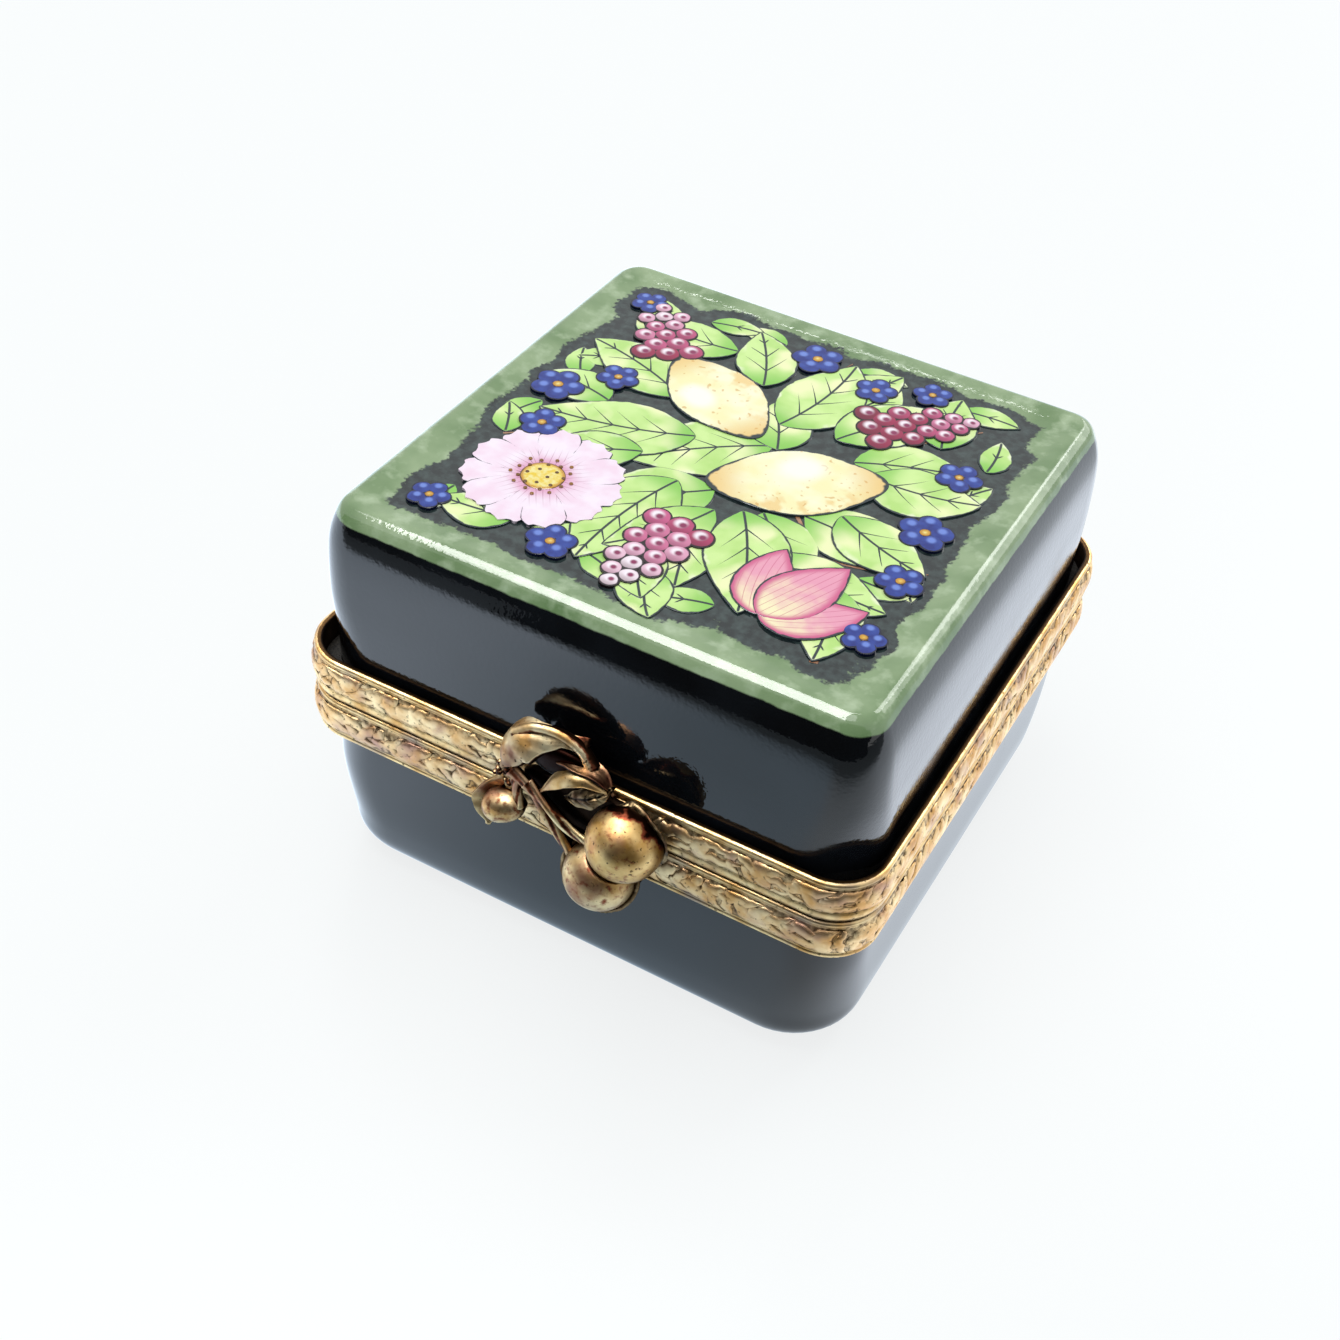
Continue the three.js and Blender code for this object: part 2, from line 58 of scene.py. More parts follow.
# %% Camera
# The image and the focal length are in pixels, the sensor and the camera's place in millimetres.
IMAGE = 1340
FOCAL_PIXELS = 1881.6
SENSOR = 36.0
CAMERA_PLACE = (48.59, -106.50, 115.96)
YAW = math.radians(-26.255)
PITCH = math.radians(41.425)
ROLL = math.radians(4.759)


def camera_axes(yaw, pitch, roll):
    """The camera's right, up and backward axes as the columns of a matrix."""
    forward = Vector((math.sin(yaw) * math.cos(pitch), math.cos(yaw) * math.cos(pitch), -math.sin(pitch)))
    level = Vector((math.cos(yaw), -math.sin(yaw), 0))
    upright = level.cross(forward)
    right = math.cos(roll) * level + math.sin(roll) * upright
    top = math.cos(roll) * upright - math.sin(roll) * level
    return Matrix((right, top, -forward)).transposed().to_4x4()


def new_object(name, data):
    """A new object in the scene, which holds this camera, mesh or lamp."""
    made = bpy.data.objects.new(name, data)
    bpy.context.scene.collection.objects.link(made)
    return made


camera_data = bpy.data.cameras.new("camera")
camera_data.sensor_width = SENSOR
camera_data.lens = FOCAL_PIXELS / IMAGE * SENSOR
camera_data.clip_start = 0.01
camera_data.clip_end = 10
camera = new_object("camera", camera_data)
camera.matrix_world = Matrix.Translation(Vector(CAMERA_PLACE) * MM) @ camera_axes(YAW, PITCH, ROLL)
bpy.context.scene.camera = camera
bpy.context.scene.view_settings.view_transform = "Standard"
print("lens in mm:", round(camera_data.lens, 2))

# %% [markdown]
# Colours are written as the hex codes that a screen shows, and Blender computes in linear light, so
# one function turns the first into the second. Another adds a node, sets it up and plugs it in, and
# a third starts a material with one Principled shader.

# %% Colours and nodes


def colour(code):
    """Turn an sRGB hex code into a linear colour."""
    parts = [int(code[i : i + 2], 16) / 255 for i in (1, 3, 5)]
    linear = [part / 12.92 if part <= 0.04045 else ((part + 0.055) / 1.055) ** 2.4 for part in parts]
    return (*linear, 1.0)


def add(tree, kind, sockets=None, stops=None, **settings):
    """Add a node with its settings, fill its inputs with values or links, and set a ramp's stops."""
    made = tree.nodes.new(kind)
    for name, value in settings.items():
        setattr(made, name, value)
    for key, value in (sockets or {}).items():
        if isinstance(value, bpy.types.NodeSocket):
            tree.links.new(value, made.inputs[key])
        else:
            made.inputs[key].default_value = value
    if stops:
        elements = made.color_ramp.elements
        elements[0].position, elements[0].color = stops[0][0], colour(stops[0][1])
        elements[-1].position, elements[-1].color = stops[-1][0], colour(stops[-1][1])
        for place, code in stops[1:-1]:
            elements.new(place).color = colour(code)
    return made


def start_material(name, **values):
    """A new material with one Principled shader, whose sockets are set by name."""
    material = bpy.data.materials.new(name)
    material.use_nodes = True
    tree = material.node_tree
    tree.nodes.clear()
    sockets = {key.replace("_", " "): value for key, value in values.items()}
    shader = add(tree, "ShaderNodeBsdfPrincipled", sockets)
    add(tree, "ShaderNodeOutputMaterial", {"Surface": shader.outputs[0]})
    return material, tree, shader


# %% [markdown]
# Hand work is never even. Clouds of noise, sized in millimetres on the object's own coordinates,
# break up colour, gloss and relief, and they stay put on the piece when the lid turns.

# %% Clouds and small waves


def clouds(tree, size, detail=2.0, low=0.35, high=0.65, seed=0.0):
    """A soft mask from 0 to 1, with clouds about this many millimetres across."""
    place = add(tree, "ShaderNodeTexCoord").outputs["Object"]
    moved = add(tree, "ShaderNodeVectorMath", {0: place, 1: (seed, seed * 0.7, seed * 0.3)})
    sockets = {"Vector": moved.outputs[0], "Scale": 1 / (size * MM), "Detail": detail}
    noise = add(tree, "ShaderNodeTexNoise", sockets)
    return add(tree, "ShaderNodeMapRange", {0: noise.outputs[0], 1: low, 2: high}).outputs[0]


def mixed(tree, share, first, second):
    """One colour over another, by a share from 0 to 1. Colours are hex codes or sockets."""
    pair = [colour(item) if isinstance(item, str) else item for item in (first, second)]
    return add(tree, "ShaderNodeMix", {0: share, 6: pair[0], 7: pair[1]}, data_type="RGBA").outputs[2]


def computed(tree, operation, *values):
    """A number worked out from values or sockets."""
    return add(tree, "ShaderNodeMath", dict(enumerate(values)), operation=operation).outputs[0]


def stepped(tree, value, low, high):
    """0 below low, 1 above high, and smooth between them. Low may be above high."""
    sockets = {0: value, 1: low, 2: high}
    return add(tree, "ShaderNodeMapRange", sockets, interpolation_type="SMOOTHSTEP").outputs[0]


def carried(tree, name):
    """A number that the mesh carries at its vertices."""
    return add(tree, "ShaderNodeAttribute", attribute_name=name).outputs["Fac"]


def raised(tree, shader, height, depth):
    """Use a height from 0 to 1, this many millimetres deep, as the shader's small relief."""
    bump = add(tree, "ShaderNodeBump", {"Strength": 1.0, "Distance": depth * MM, "Height": height})
    tree.links.new(bump.outputs[0], shader.inputs["Normal"])


def roughened(tree, shader, share, smooth, rough):
    """Set the shader's roughness between two values, by a share from 0 to 1."""
    between = add(tree, "ShaderNodeMapRange", {0: share, 3: smooth, 4: rough}).outputs[0]
    tree.links.new(between, shader.inputs["Roughness"])


# %% [markdown]
# Feldspathic glaze over a cobalt-black ground colour: a deep black that shows only what it mirrors.
# Its index of refraction is near 1.55, and its surface has the slow waves of a glaze that ran and
# the faint smears of a piece that was handled.

# %% Black glaze
GLAZE_IOR = 1.56


def glaze_skin(tree, shader, wave=0.006, grain=0.12, fine_size=1.1):
    """The waves and smears that every glazed face of the box shares. Grain is the share of fine waves."""
    slow = clouds(tree, 9.0, 1.0, 0.2, 0.8, 2.0)
    fine = clouds(tree, fine_size, 1.0, 0.2, 0.8, 3.0)
    raised(tree, shader, computed(tree, "MULTIPLY_ADD", fine, grain, slow), wave)
    roughened(tree, shader, clouds(tree, 7.0, 4.0, 0.45, 0.75, 1.0), 0.05, 0.16)


def black_ground(tree):
    """The black of the sides, with a faint blue where the glaze is thick."""
    return mixed(tree, clouds(tree, 6.0, 2.0), "#08090b", "#101317")


def make_black_glaze():
    material, tree, shader = start_material("black_glaze", IOR=GLAZE_IOR)
    tree.links.new(black_ground(tree), shader.inputs["Base Color"])
    glaze_skin(tree, shader)
    return material


black_glaze = make_black_glaze()

# %% [markdown]
# Inside, the porcelain is white under a clear glaze, and the edges that stood on the kiln shelf or
# take the cement are bare biscuit: matt, slightly grainy and warmer. The inside isn't in the
# photograph, and a white lining is what such boxes have.

# %% White glaze and bare biscuit


def make_white_glaze():
    material, tree, shader = start_material("white_glaze", IOR=GLAZE_IOR)
    body = mixed(tree, clouds(tree, 8.0, 3.0), "#e9e7e0", "#f3f1ec")
    pinholes = clouds(tree, 0.5, 0.0, 0.76, 0.80, 5.0)
    tree.links.new(mixed(tree, pinholes, body, "#b9b2a4"), shader.inputs["Base Color"])
    glaze_skin(tree, shader)
    return material


def make_grainy(name, roughness, size, detail, dark, light, depth):
    """A matt material with grains of two tones, raised by this many millimetres."""
    material, tree, shader = start_material(name, Roughness=roughness)
    grain = clouds(tree, size, detail)
    tree.links.new(mixed(tree, grain, dark, light), shader.inputs["Base Color"])
    raised(tree, shader, grain, depth)
    return material


white_glaze = make_white_glaze()
biscuit = make_grainy("biscuit", 0.85, 0.35, 3.0, "#d9d2c2", "#ece6d9", 0.02)

# %% [markdown]
# Every solid of the box comes from points in millimetres and faces between them. One helper turns
# them into a mesh at the origin, gives it its finish, seats it on its body and hides the CAD nodes
# that it stands for.

# %% Make a piece


def new_mesh(name, points, faces, carries):
    """A smooth mesh from points in millimetres, which carries named numbers at its vertices."""
    mesh = bpy.data.meshes.new(name)
    mesh.from_pydata((np.asarray(points, float) * MM).tolist(), [], faces)
    mesh.polygons.foreach_set("use_smooth", [True] * len(mesh.polygons))
    for key, values in carries.items():
        mesh.attributes.new(key, "FLOAT", "POINT").data.foreach_set("value", np.asarray(values, np.float32))
    return mesh


def make_piece(
    name, body, points, faces, materials, choice=None, carries=None, stands_for=(), sharp=None
):
    """A finished piece. Choice gives each face its material, and sharp is an angle in degrees."""
    mesh = new_mesh(name, points, faces, carries or {})
    for material in materials:
        mesh.materials.append(material)
    if choice is not None:
        mesh.polygons.foreach_set("material_index", choice)
    if sharp:
        mesh.set_sharp_from_angle(angle=math.radians(sharp))
    mesh.update()
    piece = new_object(name, mesh)
    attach(piece, body)
    if stands_for:
        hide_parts(*stands_for)
    print(f"{name}: {len(mesh.polygons)} faces")


# %% [markdown]
# The box is a stack of squares with rounded corners, so its walls are lofted: rings of equal point
# counts, joined by quads. A profile that starts and ends on the middle axis closes on itself, so
# one loft makes the outside, the rim and the lining of a shell.

# %% Rings and lofts
ARC_STEPS = 12
SIDE_STEPS = 40
LARGEST_CORNER = 0.6


def square_ring(half, corner, z):
    """Points round a square with rounded corners, anticlockwise from above."""
    corner = min(corner, half * LARGEST_CORNER)
    arcs = []
    for quarter in range(4):
        side_x = 1 if quarter in (0, 3) else -1
        side_y = 1 if quarter < 2 else -1
        for step in range(ARC_STEPS + 1):
            angle = (quarter + step / ARC_STEPS) * math.pi / 2
            x = side_x * (half - corner) + corner * math.cos(angle)
            y = side_y * (half - corner) + corner * math.sin(angle)
            arcs.append((x, y))
    points = []
    for index, (x, y) in enumerate(arcs):
        points.append((x, y, z))
        if index % (ARC_STEPS + 1) == ARC_STEPS:
            after_x, after_y = arcs[(index + 1) % len(arcs)]
            for step in range(1, SIDE_STEPS):
                share = step / SIDE_STEPS
                points.append((x + (after_x - x) * share, y + (after_y - y) * share, z))
    return points


def loft(rings, closed=False):
    """Join rings with quads. An open stack is closed by a fan at each end."""
    count = len(rings[0])
    points = [point for ring in rings for point in ring]
    faces = []
    for level in range(len(rings) if closed else len(rings) - 1):
        low = level * count
        high = (level + 1) % len(rings) * count
        for i in range(count):
            j = (i + 1) % count
            faces.append((low + i, low + j, high + j, high + i))
    if not closed:
        for first, flip in ((0, True), ((len(rings) - 1) * count, False)):
            middle = len(points)
            points.append(tuple(np.mean(points[first : first + count], axis=0)))
            for i in range(count):
                fan = (first + i, first + (i + 1) % count, middle)
                faces.append(fan[::-1] if flip else fan)
    return points, faces


def smooth_through(points, count):
    """Evenly spaced points on a centripetal Catmull-Rom curve, as the CAD draws its curves."""
    knots = [np.asarray(point, float) for point in points]
    knots = [2 * knots[0] - knots[1], *knots, 2 * knots[-1] - knots[-2]]
    dense = []
    per_span = max(8, 4 * count // (len(points) - 1))
    for before, start, end, after in zip(knots, knots[1:], knots[2:], knots[3:]):
        spans = (start - before, end - start, after - end)
        first, middle, last = [max(math.sqrt(np.linalg.norm(span)), 1e-4) for span in spans]
        slope_in = spans[0] / first - (end - before) / (first + middle) + spans[1] / middle
        slope_out = spans[1] / middle - (after - start) / (middle + last) + spans[2] / last
        for t in np.linspace(0, 1, per_span, endpoint=False):
            dense.append(
                (2 * t**3 - 3 * t**2 + 1) * start
                + (t**3 - 2 * t**2 + t) * slope_in * middle
                + (3 * t**2 - 2 * t**3) * end
                + (t**3 - t**2) * slope_out * middle
            )
    dense.append(knots[-2])
    dense = np.array(dense)
    travelled = np.concatenate([[0], np.cumsum(np.linalg.norm(np.diff(dense, axis=0), axis=1))])
    wanted = np.linspace(0, travelled[-1], count)
    return np.stack([np.interp(wanted, travelled, values) for values in dense.T], axis=1)


# %% [markdown]
# Base and lid are both such a shell, and their insides have the same small corner from top to
# bottom. Each stretch of a shell's profile has its own finish: glaze outside, white glaze inside,
# and bare biscuit where the kiln or the cement touched it.

# %% Shells
INNER_CORNER = 1.6
FLOOR_HALF = 18.4
FLOOR_STEP = 2.0
OUTSIDE, INSIDE, BARE = 0, 1, 2


def flat_levels(inner, outer, z, step):
    """Levels of a flat floor or roof, from the middle outwards."""
    return [(half, INNER_CORNER, z) for half in np.arange(inner, outer, step)]


def lining_levels(profile):
    """Levels of an inside wall through these half widths and heights."""
    return smooth_through([(half, INNER_CORNER, z) for half, z in profile], 24).tolist()


def shell(parts, ends):
    """Points, faces and choice of finish of a lofted shell. Ends are the finishes of its two fans."""
    rings = [square_ring(*level) for part, _ in parts for level in part]
    kinds = [kind for part, kind in parts for _ in part]
    points, faces = loft(rings)
    choice = [kind for kind in (*kinds[1:], *ends) for _ in rings[0]]
    return points, faces, choice


# %% [markdown]
# The base is a cup with a slightly full wall and a soft foot. Its underside is drawn up inside a
# narrow foot ring, as a thrown or cast foot is, and the outside is black down to that ring. The
# levels are half width, corner radius and height.

# %% Porcelain base
FOOT = [(17.1, 3.3, 0.0), (18.1, 4.2, 0.0), (19.0, 5.0, 0.0)]
BASE_WALL = [
    (19.0, 5.0, 0.0),
    (20.45, 5.2, 0.34),
    (21.7, 5.4, 1.2),
    (22.55, 5.7, 2.4),
    (22.95, 6.1, 4.6),
    (23.1, 4.9, 10.0),
    (23.0, 5.4, 15.4),
    (22.82, 5.22, 16.85),
]
BASE_RIM = [
    (22.72, 5.12, 16.97),
    (22.55, 5.0, 17.0),
    (20.45, 1.9, 17.0),
    (20.28, 1.7, 16.95),
    (20.2, 1.6, 16.8),
]
BASE_LINING = [(20.2, 16.8), (20.2, 4.2), (19.95, 3.35), (19.3, 2.78), (18.6, 2.6)]
BASE_FLOOR = 2.6
UNDERSIDE = 0.55
UNDERSIDE_EDGE = [(16.1, 2.4, 0.5), (16.5, 2.8, 0.34), (16.8, 3.0, 0.08)]


def make_porcelain_base():
    parts = [
        ([*flat_levels(0.6, 15.8, UNDERSIDE, FLOOR_STEP), *UNDERSIDE_EDGE], INSIDE),
        (FOOT, BARE),
        (smooth_through(BASE_WALL, 44)[1:].tolist(), OUTSIDE),
        (BASE_RIM, BARE),
        (lining_levels(BASE_LINING)[1:], INSIDE),
        (flat_levels(0.6, FLOOR_HALF, BASE_FLOOR, FLOOR_STEP)[::-1], INSIDE),
    ]
    points, faces, choice = shell(parts, (INSIDE, INSIDE))
    looks = [black_glaze, white_glaze, biscuit]
    make_piece("porcelain_base", "base", points, faces, looks, choice, {}, ["base_shell"])


make_porcelain_base()

# %% [markdown]
# The lid's top carries an overglaze painting: a spray of fruit, flowers and leaves on a feathered
# black ground, with a mottled sage-green border that runs over the edge. Each motif is a thin closed
# slab laid on the lid's surface. Real enamel stands a few hundredths of a millimetre proud, and where
# motifs overlap here they are stacked, to about three tenths. The slabs carry numbers: how far a
# point is from the motif's outline, along its middle and across it. The paint reads them for
# outlines, veins and shading. First comes the height of the surface that they lie on.

# %% Height of the lid's top
LID_FLAT = 34.08
LID_LIP = [(20.9, 1.5, 34.4), (20.3, 1.5, 34.37), (19.7, 1.5, 34.27), (19.1, 1.5, 34.15), (18.4, 1.5, 34.09)]
LID_WALL = [
    (22.82, 5.22, 18.95),
    (23.0, 5.4, 20.4),
    (22.97, 5.2, 22.4),
    (22.85, 3.9, 26.9),
    (22.5, 3.1, 31.4),
    (22.0, 2.6, 33.11),
    (21.5, 2.1, 34.04),
    (20.9, 1.5, 34.4),
]
FLAT_HALF = 18.0


def lid_height(x, y):
    """Height of the glazed top at a point, in millimetres."""
    levels = [(FLAT_HALF, 0.0, LID_FLAT), *LID_LIP[::-1], *LID_WALL[-2:-4:-1]]
    reach = np.maximum(np.abs(x), np.abs(y))
    return np.interp(reach, [half for half, _, _ in levels], [z for _, _, z in levels])


# %% [markdown]
# A slab's top is a grid of points. A grid's quads and its border are wanted again later, for the
# chased leaves, and so is the helper that joins several closed shapes into one piece.

# %% Grids and joined shapes


def grid(rows, columns):
    """Quads over a grid of points, and the numbers of its border points in order."""
    quads = []
    for i in range(rows - 1):
        for j in range(columns - 1):
            a = i * columns + j
            quads.append((a, a + columns, a + columns + 1, a + 1))
    border = list(range(columns))
    border += [i * columns + columns - 1 for i in range(1, rows)]
    border += [(rows - 1) * columns + j for j in range(columns - 2, -1, -1)]
    border += [i * columns for i in range(rows - 2, 0, -1)]
    return quads, border


def joined(parts):
    """Several closed shapes as the points, faces and carried numbers of one piece."""
    points, faces, carries = [], [], {}
    first = 0
    for part_points, part_faces, numbers in parts:
        points.append(part_points)
        faces += [tuple(first + index for index in face) for face in part_faces]
        first += len(part_points)
        for key, values in numbers.items():
            carries.setdefault(key, []).extend(values)
    return np.concatenate(points), faces, carries


# %% Slabs of paint
PAINT_DEEP = 0.03
CROWN = 0.02
CROWN_EDGE = 0.8
THINNEST = 0.015
slabs = {}
painted_places = []


def lay_slab(kind, xy, edge, along, across, lift, tone, crown=CROWN):
    """Keep one closed slab whose top is a grid of points, lifted this far off the glaze."""
    rows, columns = xy.shape[:2]
    size = rows * columns
    ground = lid_height(xy[..., 0], xy[..., 1])
    swell = crown * np.clip(edge / CROWN_EDGE, 0, 1) ** 0.5
    top = np.concatenate([xy, (ground + lift + swell)[..., None]], axis=2).reshape(-1, 3)
    under = np.concatenate([xy, (ground - PAINT_DEEP)[..., None]], axis=2).reshape(-1, 3)
    quads, border = grid(rows, columns)
    faces = []
    for quad in quads:
        faces += [quad, tuple(size + corner for corner in reversed(quad))]
    for a, b in zip(border, border[1:] + border[:1]):
        faces.append((a, b, size + b, size + a))
    numbers = {"edge": edge, "along": along, "across": across, "tone": np.full(xy.shape[:2], tone)}
    numbers = {key: np.tile(value.ravel(), 2) for key, value in numbers.items()}
    slabs.setdefault(kind, []).append((np.concatenate([top, under]), faces, numbers))
    painted_places.extend(xy.reshape(-1, 2)[:: 2 if size > 60 else 1].tolist())


def strip(kind, base, heading, length, half_width, lift, tone=0.5, bend=0.0, tip=None, rows=22, columns=13):
    """A leaf, petal or twig: a band along a bent middle line, as wide as half_width says."""
    along = 0.5 - 0.5 * np.cos(np.linspace(0, math.pi, rows))
    side = np.sin(np.linspace(-math.pi / 2, math.pi / 2, columns))
    turn = math.radians(heading) + math.radians(bend) * (along - 0.5)
    ahead = np.stack([np.cos(turn), np.sin(turn)], 1)
    over = np.stack([-np.sin(turn), np.cos(turn)], 1)
    steps = np.diff(along, prepend=0) * length
    line = np.array(base) + np.cumsum(ahead * steps[:, None], axis=0)
    width = np.maximum([half_width(t) for t in along], THINNEST)
    across = side[None, :] * width[:, None]
    xy = line[:, None, :] + over[:, None, :] * across[..., None]
    if tip:
        push = np.array([tip(abs(s)) for s in side])
        xy = xy + ahead[:, None, :] * (push[None, :, None] * (along**3)[:, None, None])
    beside = (1 - np.abs(side))[None, :] * width[:, None]
    ends = np.minimum(along + 0.02, 1.02 - along)[:, None] * length
    way = np.broadcast_to(along[:, None] * length, across.shape)
    lay_slab(kind, xy, np.minimum(beside, ends), way, across, lift, tone)


def round_spot(kind, centre, radius, lift, tone=0.5, squash=1.0, heading=0.0, rows=13, crown=0.03, point=0.0):
    """A berry, fruit or disc. Along and across run from -1 to 1 over it, so paint can place a shine."""
    lines = np.linspace(-1, 1, rows)
    u, v = np.meshgrid(lines, lines, indexing="ij")
    x = u * np.sqrt(1 - v**2 / 2)
    y = v * np.sqrt(1 - u**2 / 2)
    reach = np.sqrt(x**2 + y**2)
    longer = 1 + point * np.clip(np.abs(x) - 0.55, 0, 1) ** 2
    turn = math.radians(heading)
    local = np.stack([x * longer * radius, y * radius * squash], axis=2)
    spin = np.array([[math.cos(turn), math.sin(turn)], [-math.sin(turn), math.cos(turn)]])
    xy = np.array(centre) + local @ spin
    lay_slab(kind, xy, (1 - reach) * radius * squash, x, y, lift, tone, crown)


# %% [markdown]
# The layout is the builder's own: two lemons in the middle, a tulip at the front right and an open
# daisy at the front left, clusters of currants, small blue flowers round the rim, and twigs and long
# leaves between them. Sizes are those of a painting for a lid 46 mm wide.

# %% Leaves and twigs of the spray


def leaf_width(widest, place=0.45):
    """Half the width of a leaf along it, widest at this place, and drawn to a point at its tip."""
    power = math.log(0.5) / math.log(place)
    return lambda t: widest * math.sin(math.pi * t**power) ** 0.8 * (1 - 0.15 * t)


def twig_width(widest):
    """Half the width of a twig, which thins to half at its tip."""
    return lambda t: widest * (1 - 0.5 * t)


# Base point, heading in degrees, length, half width and bend.
LARGE_LEAVES = [
    ((1.5, 3.5), 222, 11.5, 3.3, 18),
    ((0.5, -4.0), 215, 9.5, 3.0, -20),
    ((-1.5, -10.5), 215, 8.5, 2.6, 22),
    ((7.5, -3.2), 352, 9.5, 2.8, -14),
    ((4.8, -4.5), 318, 8.5, 2.6, 14),
    ((1.2, -7.0), 285, 9.0, 2.6, 14),
    ((7.6, 5.0), 22, 8.8, 2.6, -16),
    ((2.0, 3.2), 118, 6.5, 2.4, 14),
    ((-6.8, -0.6), 192, 8.0, 2.6, 20),
    ((0.8, -14.6), 300, 6.0, 1.9, 20),
    ((-9.8, -15.2), 188, 6.2, 1.9, -14),
    ((3.6, 9.6), 68, 7.6, 2.4, 20),
    ((12.5, 10.5), 100, 7.5, 2.2, -20),
    ((7.5, -8.5), 350, 10.0, 2.6, 24),
    ((-12.5, -2.0), 262, 6.5, 2.0, -24),
    ((3.0, 13.0), 60, 6.0, 1.8, 20),
    ((-1.0, -12.5), 300, 6.5, 2.0, 16),
    ((13.0, -9.5), 285, 8.2, 2.2, -18),
    ((-13.5, 11.0), 110, 7.0, 2.0, 24),
    ((-12.0, 1.6), 172, 6.4, 2.0, 24),
    ((0.6, 6.3), 82, 11.4, 3.0, 26),
    ((-4.0, 1.2), 196, 12.6, 3.2, -24),
    ((9.2, 4.0), 8, 9.0, 2.8, 30),
    ((-2.3, -4.6), 262, 12.3, 3.1, 22),
    ((3.5, -5.2), 296, 11.8, 2.9, -18),
    ((-7.5, 5.2), 160, 10.8, 2.8, 22),
    ((5.2, 6.9), 52, 10.6, 2.6, -26),
    ((-6.9, 13.8), 178, 9.5, 2.3, -30),
    ((9.8, -1.7), 338, 8.8, 2.5, 20),
    ((-6.3, -2.9), 215, 8.4, 2.2, 22),
    ((-2.9, 10.4), 118, 8.2, 2.3, 18),
    ((1.7, -6.3), 240, 9.5, 2.2, -26),
]
SMALL_LEAVES = [
    ((-16.3, -1.2), 250, 4.6, 1.3, 20),
    ((-15.8, 3.7), 118, 4.2, 1.2, -20),
    ((-13.8, 7.6), 205, 4.6, 1.3, 26),
    ((15.9, -4.1), 300, 4.6, 1.3, 18),
    ((15.8, 4.2), 62, 4.4, 1.25, -16),
    ((13.8, -7.6), 4, 4.4, 1.25, 24),
    ((2.1, 16.5), 8, 4.8, 1.25, -22),
    ((-4.1, 17.0), 176, 4.4, 1.2, 20),
    ((-16.4, -6.4), 118, 4.2, 1.2, 14),
    ((-4.1, -15.6), 340, 5.2, 1.4, -20),
    ((6.9, -15.8), 200, 4.6, 1.3, 18),
    ((14.4, -13.8), 80, 4.8, 1.3, -24),
    ((-15.6, -14.2), 268, 3.8, 1.15, 22),
    ((-11.0, 16.6), 12, 4.8, 1.2, -18),
    ((11.7, 16.4), 4, 5.0, 1.3, -20),
    ((16.6, 9.6), 96, 4.6, 1.2, 20),
]
TWIGS = [
    ((15.2, -17.4), 122, 19.5, 0.36, 34),
    ((5.2, -1.2), 130, 15.0, 0.3, 30),
    ((-6.0, 9.4), 150, 11.5, 0.24, -40),
    ((6.9, 1.2), 62, 15.5, 0.24, -32),
    ((-5.2, -1.2), 205, 12.6, 0.22, 30),
    ((10.4, -6.9), 18, 8.0, 0.2, 30),
    ((-9.8, 4.6), 168, 8.0, 0.2, 26),
    ((0.6, 9.2), 84, 8.6, 0.2, -22),
]
TWIG_LIFT = 0.012
LEAF_LIFT = 0.018
LIFT_STEP = 0.003
LEAF_FULLNESS = 1.2


def lay_leaves():
    draw = random.Random(11)
    lift = LEAF_LIFT
    for leaves, rows in ((SMALL_LEAVES, 18), (LARGE_LEAVES, 30)):
        for base, heading, length, half_width, bend in leaves:
            width = leaf_width(LEAF_FULLNESS * half_width)
            strip("leaf", base, heading, length, width, lift, draw.random(), bend, rows=rows)
            lift += LIFT_STEP
    for base, heading, length, half_width, bend in TWIGS:
        strip("twig", base, heading, length, twig_width(half_width), TWIG_LIFT, bend=bend, columns=5)
    return lift


fruit_lift = lay_leaves()
print("leaves and twigs:", len(slabs["leaf"]), len(slabs["twig"]), "top leaf at", round(fruit_lift, 3), "mm")

# %% Fruit and flowers of the spray
LEMONS = [((5.2, 0.2), 5.3, 32), ((-5.2, 7.0), 4.8, 148)]
DAISY = (-10.8, -9.9)
DAISY_PETALS = 11
PETAL_LENGTH = 5.4
PETAL_HALF = 1.7
PETAL_LIFT = 0.012
STAMENS = 26
GOLDEN_ANGLE = 2.399963
TULIP = (9.8, -15.2)
CURRANT_CLUSTERS = [((6.8, 10.0), 38, 7, 0.15), ((-11.6, 10.2), 122, 6, 0.35), ((0.6, -9.6), 262, 7, 0.5)]
BLUE_FLOWERS = [
    ((-16.4, 1.2), 10, 2.2),
    ((-14.6, -4.0), 40, 1.9),
    ((-13.0, 4.8), 70, 1.8),
    ((15.8, -0.2), 25, 2.2),
    ((16.6, -6.4), 60, 1.9),
    ((15.2, 7.6), 5, 1.9),
    ((-1.0, 16.4), 50, 2.2),
    ((4.9, 14.9), 20, 1.8),
    ((-6.2, -16.2), 33, 2.0),
    ((-16.4, -16.4), 12, 1.7),
    ((9.0, 16.9), 40, 1.7),
    ((17.0, -13.4), 15, 1.7),
    ((-16.6, 16.2), 5, 1.7),
]


def at_angle(centre, reach, angle):
    """The point at this distance and angle from another."""
    return (centre[0] + reach * math.cos(angle), centre[1] + reach * math.sin(angle))


def petal_width(widest):
    """Half the width of a petal, which is full from its middle on and blunt at its tip."""

    def half_width(t):
        full = 0.25 + 0.75 * math.sin(math.pi * min(t * 0.62, 0.5))
        return widest * full * (1 if t < 0.85 else 1 - 1.2 * (t - 0.85))

    return half_width


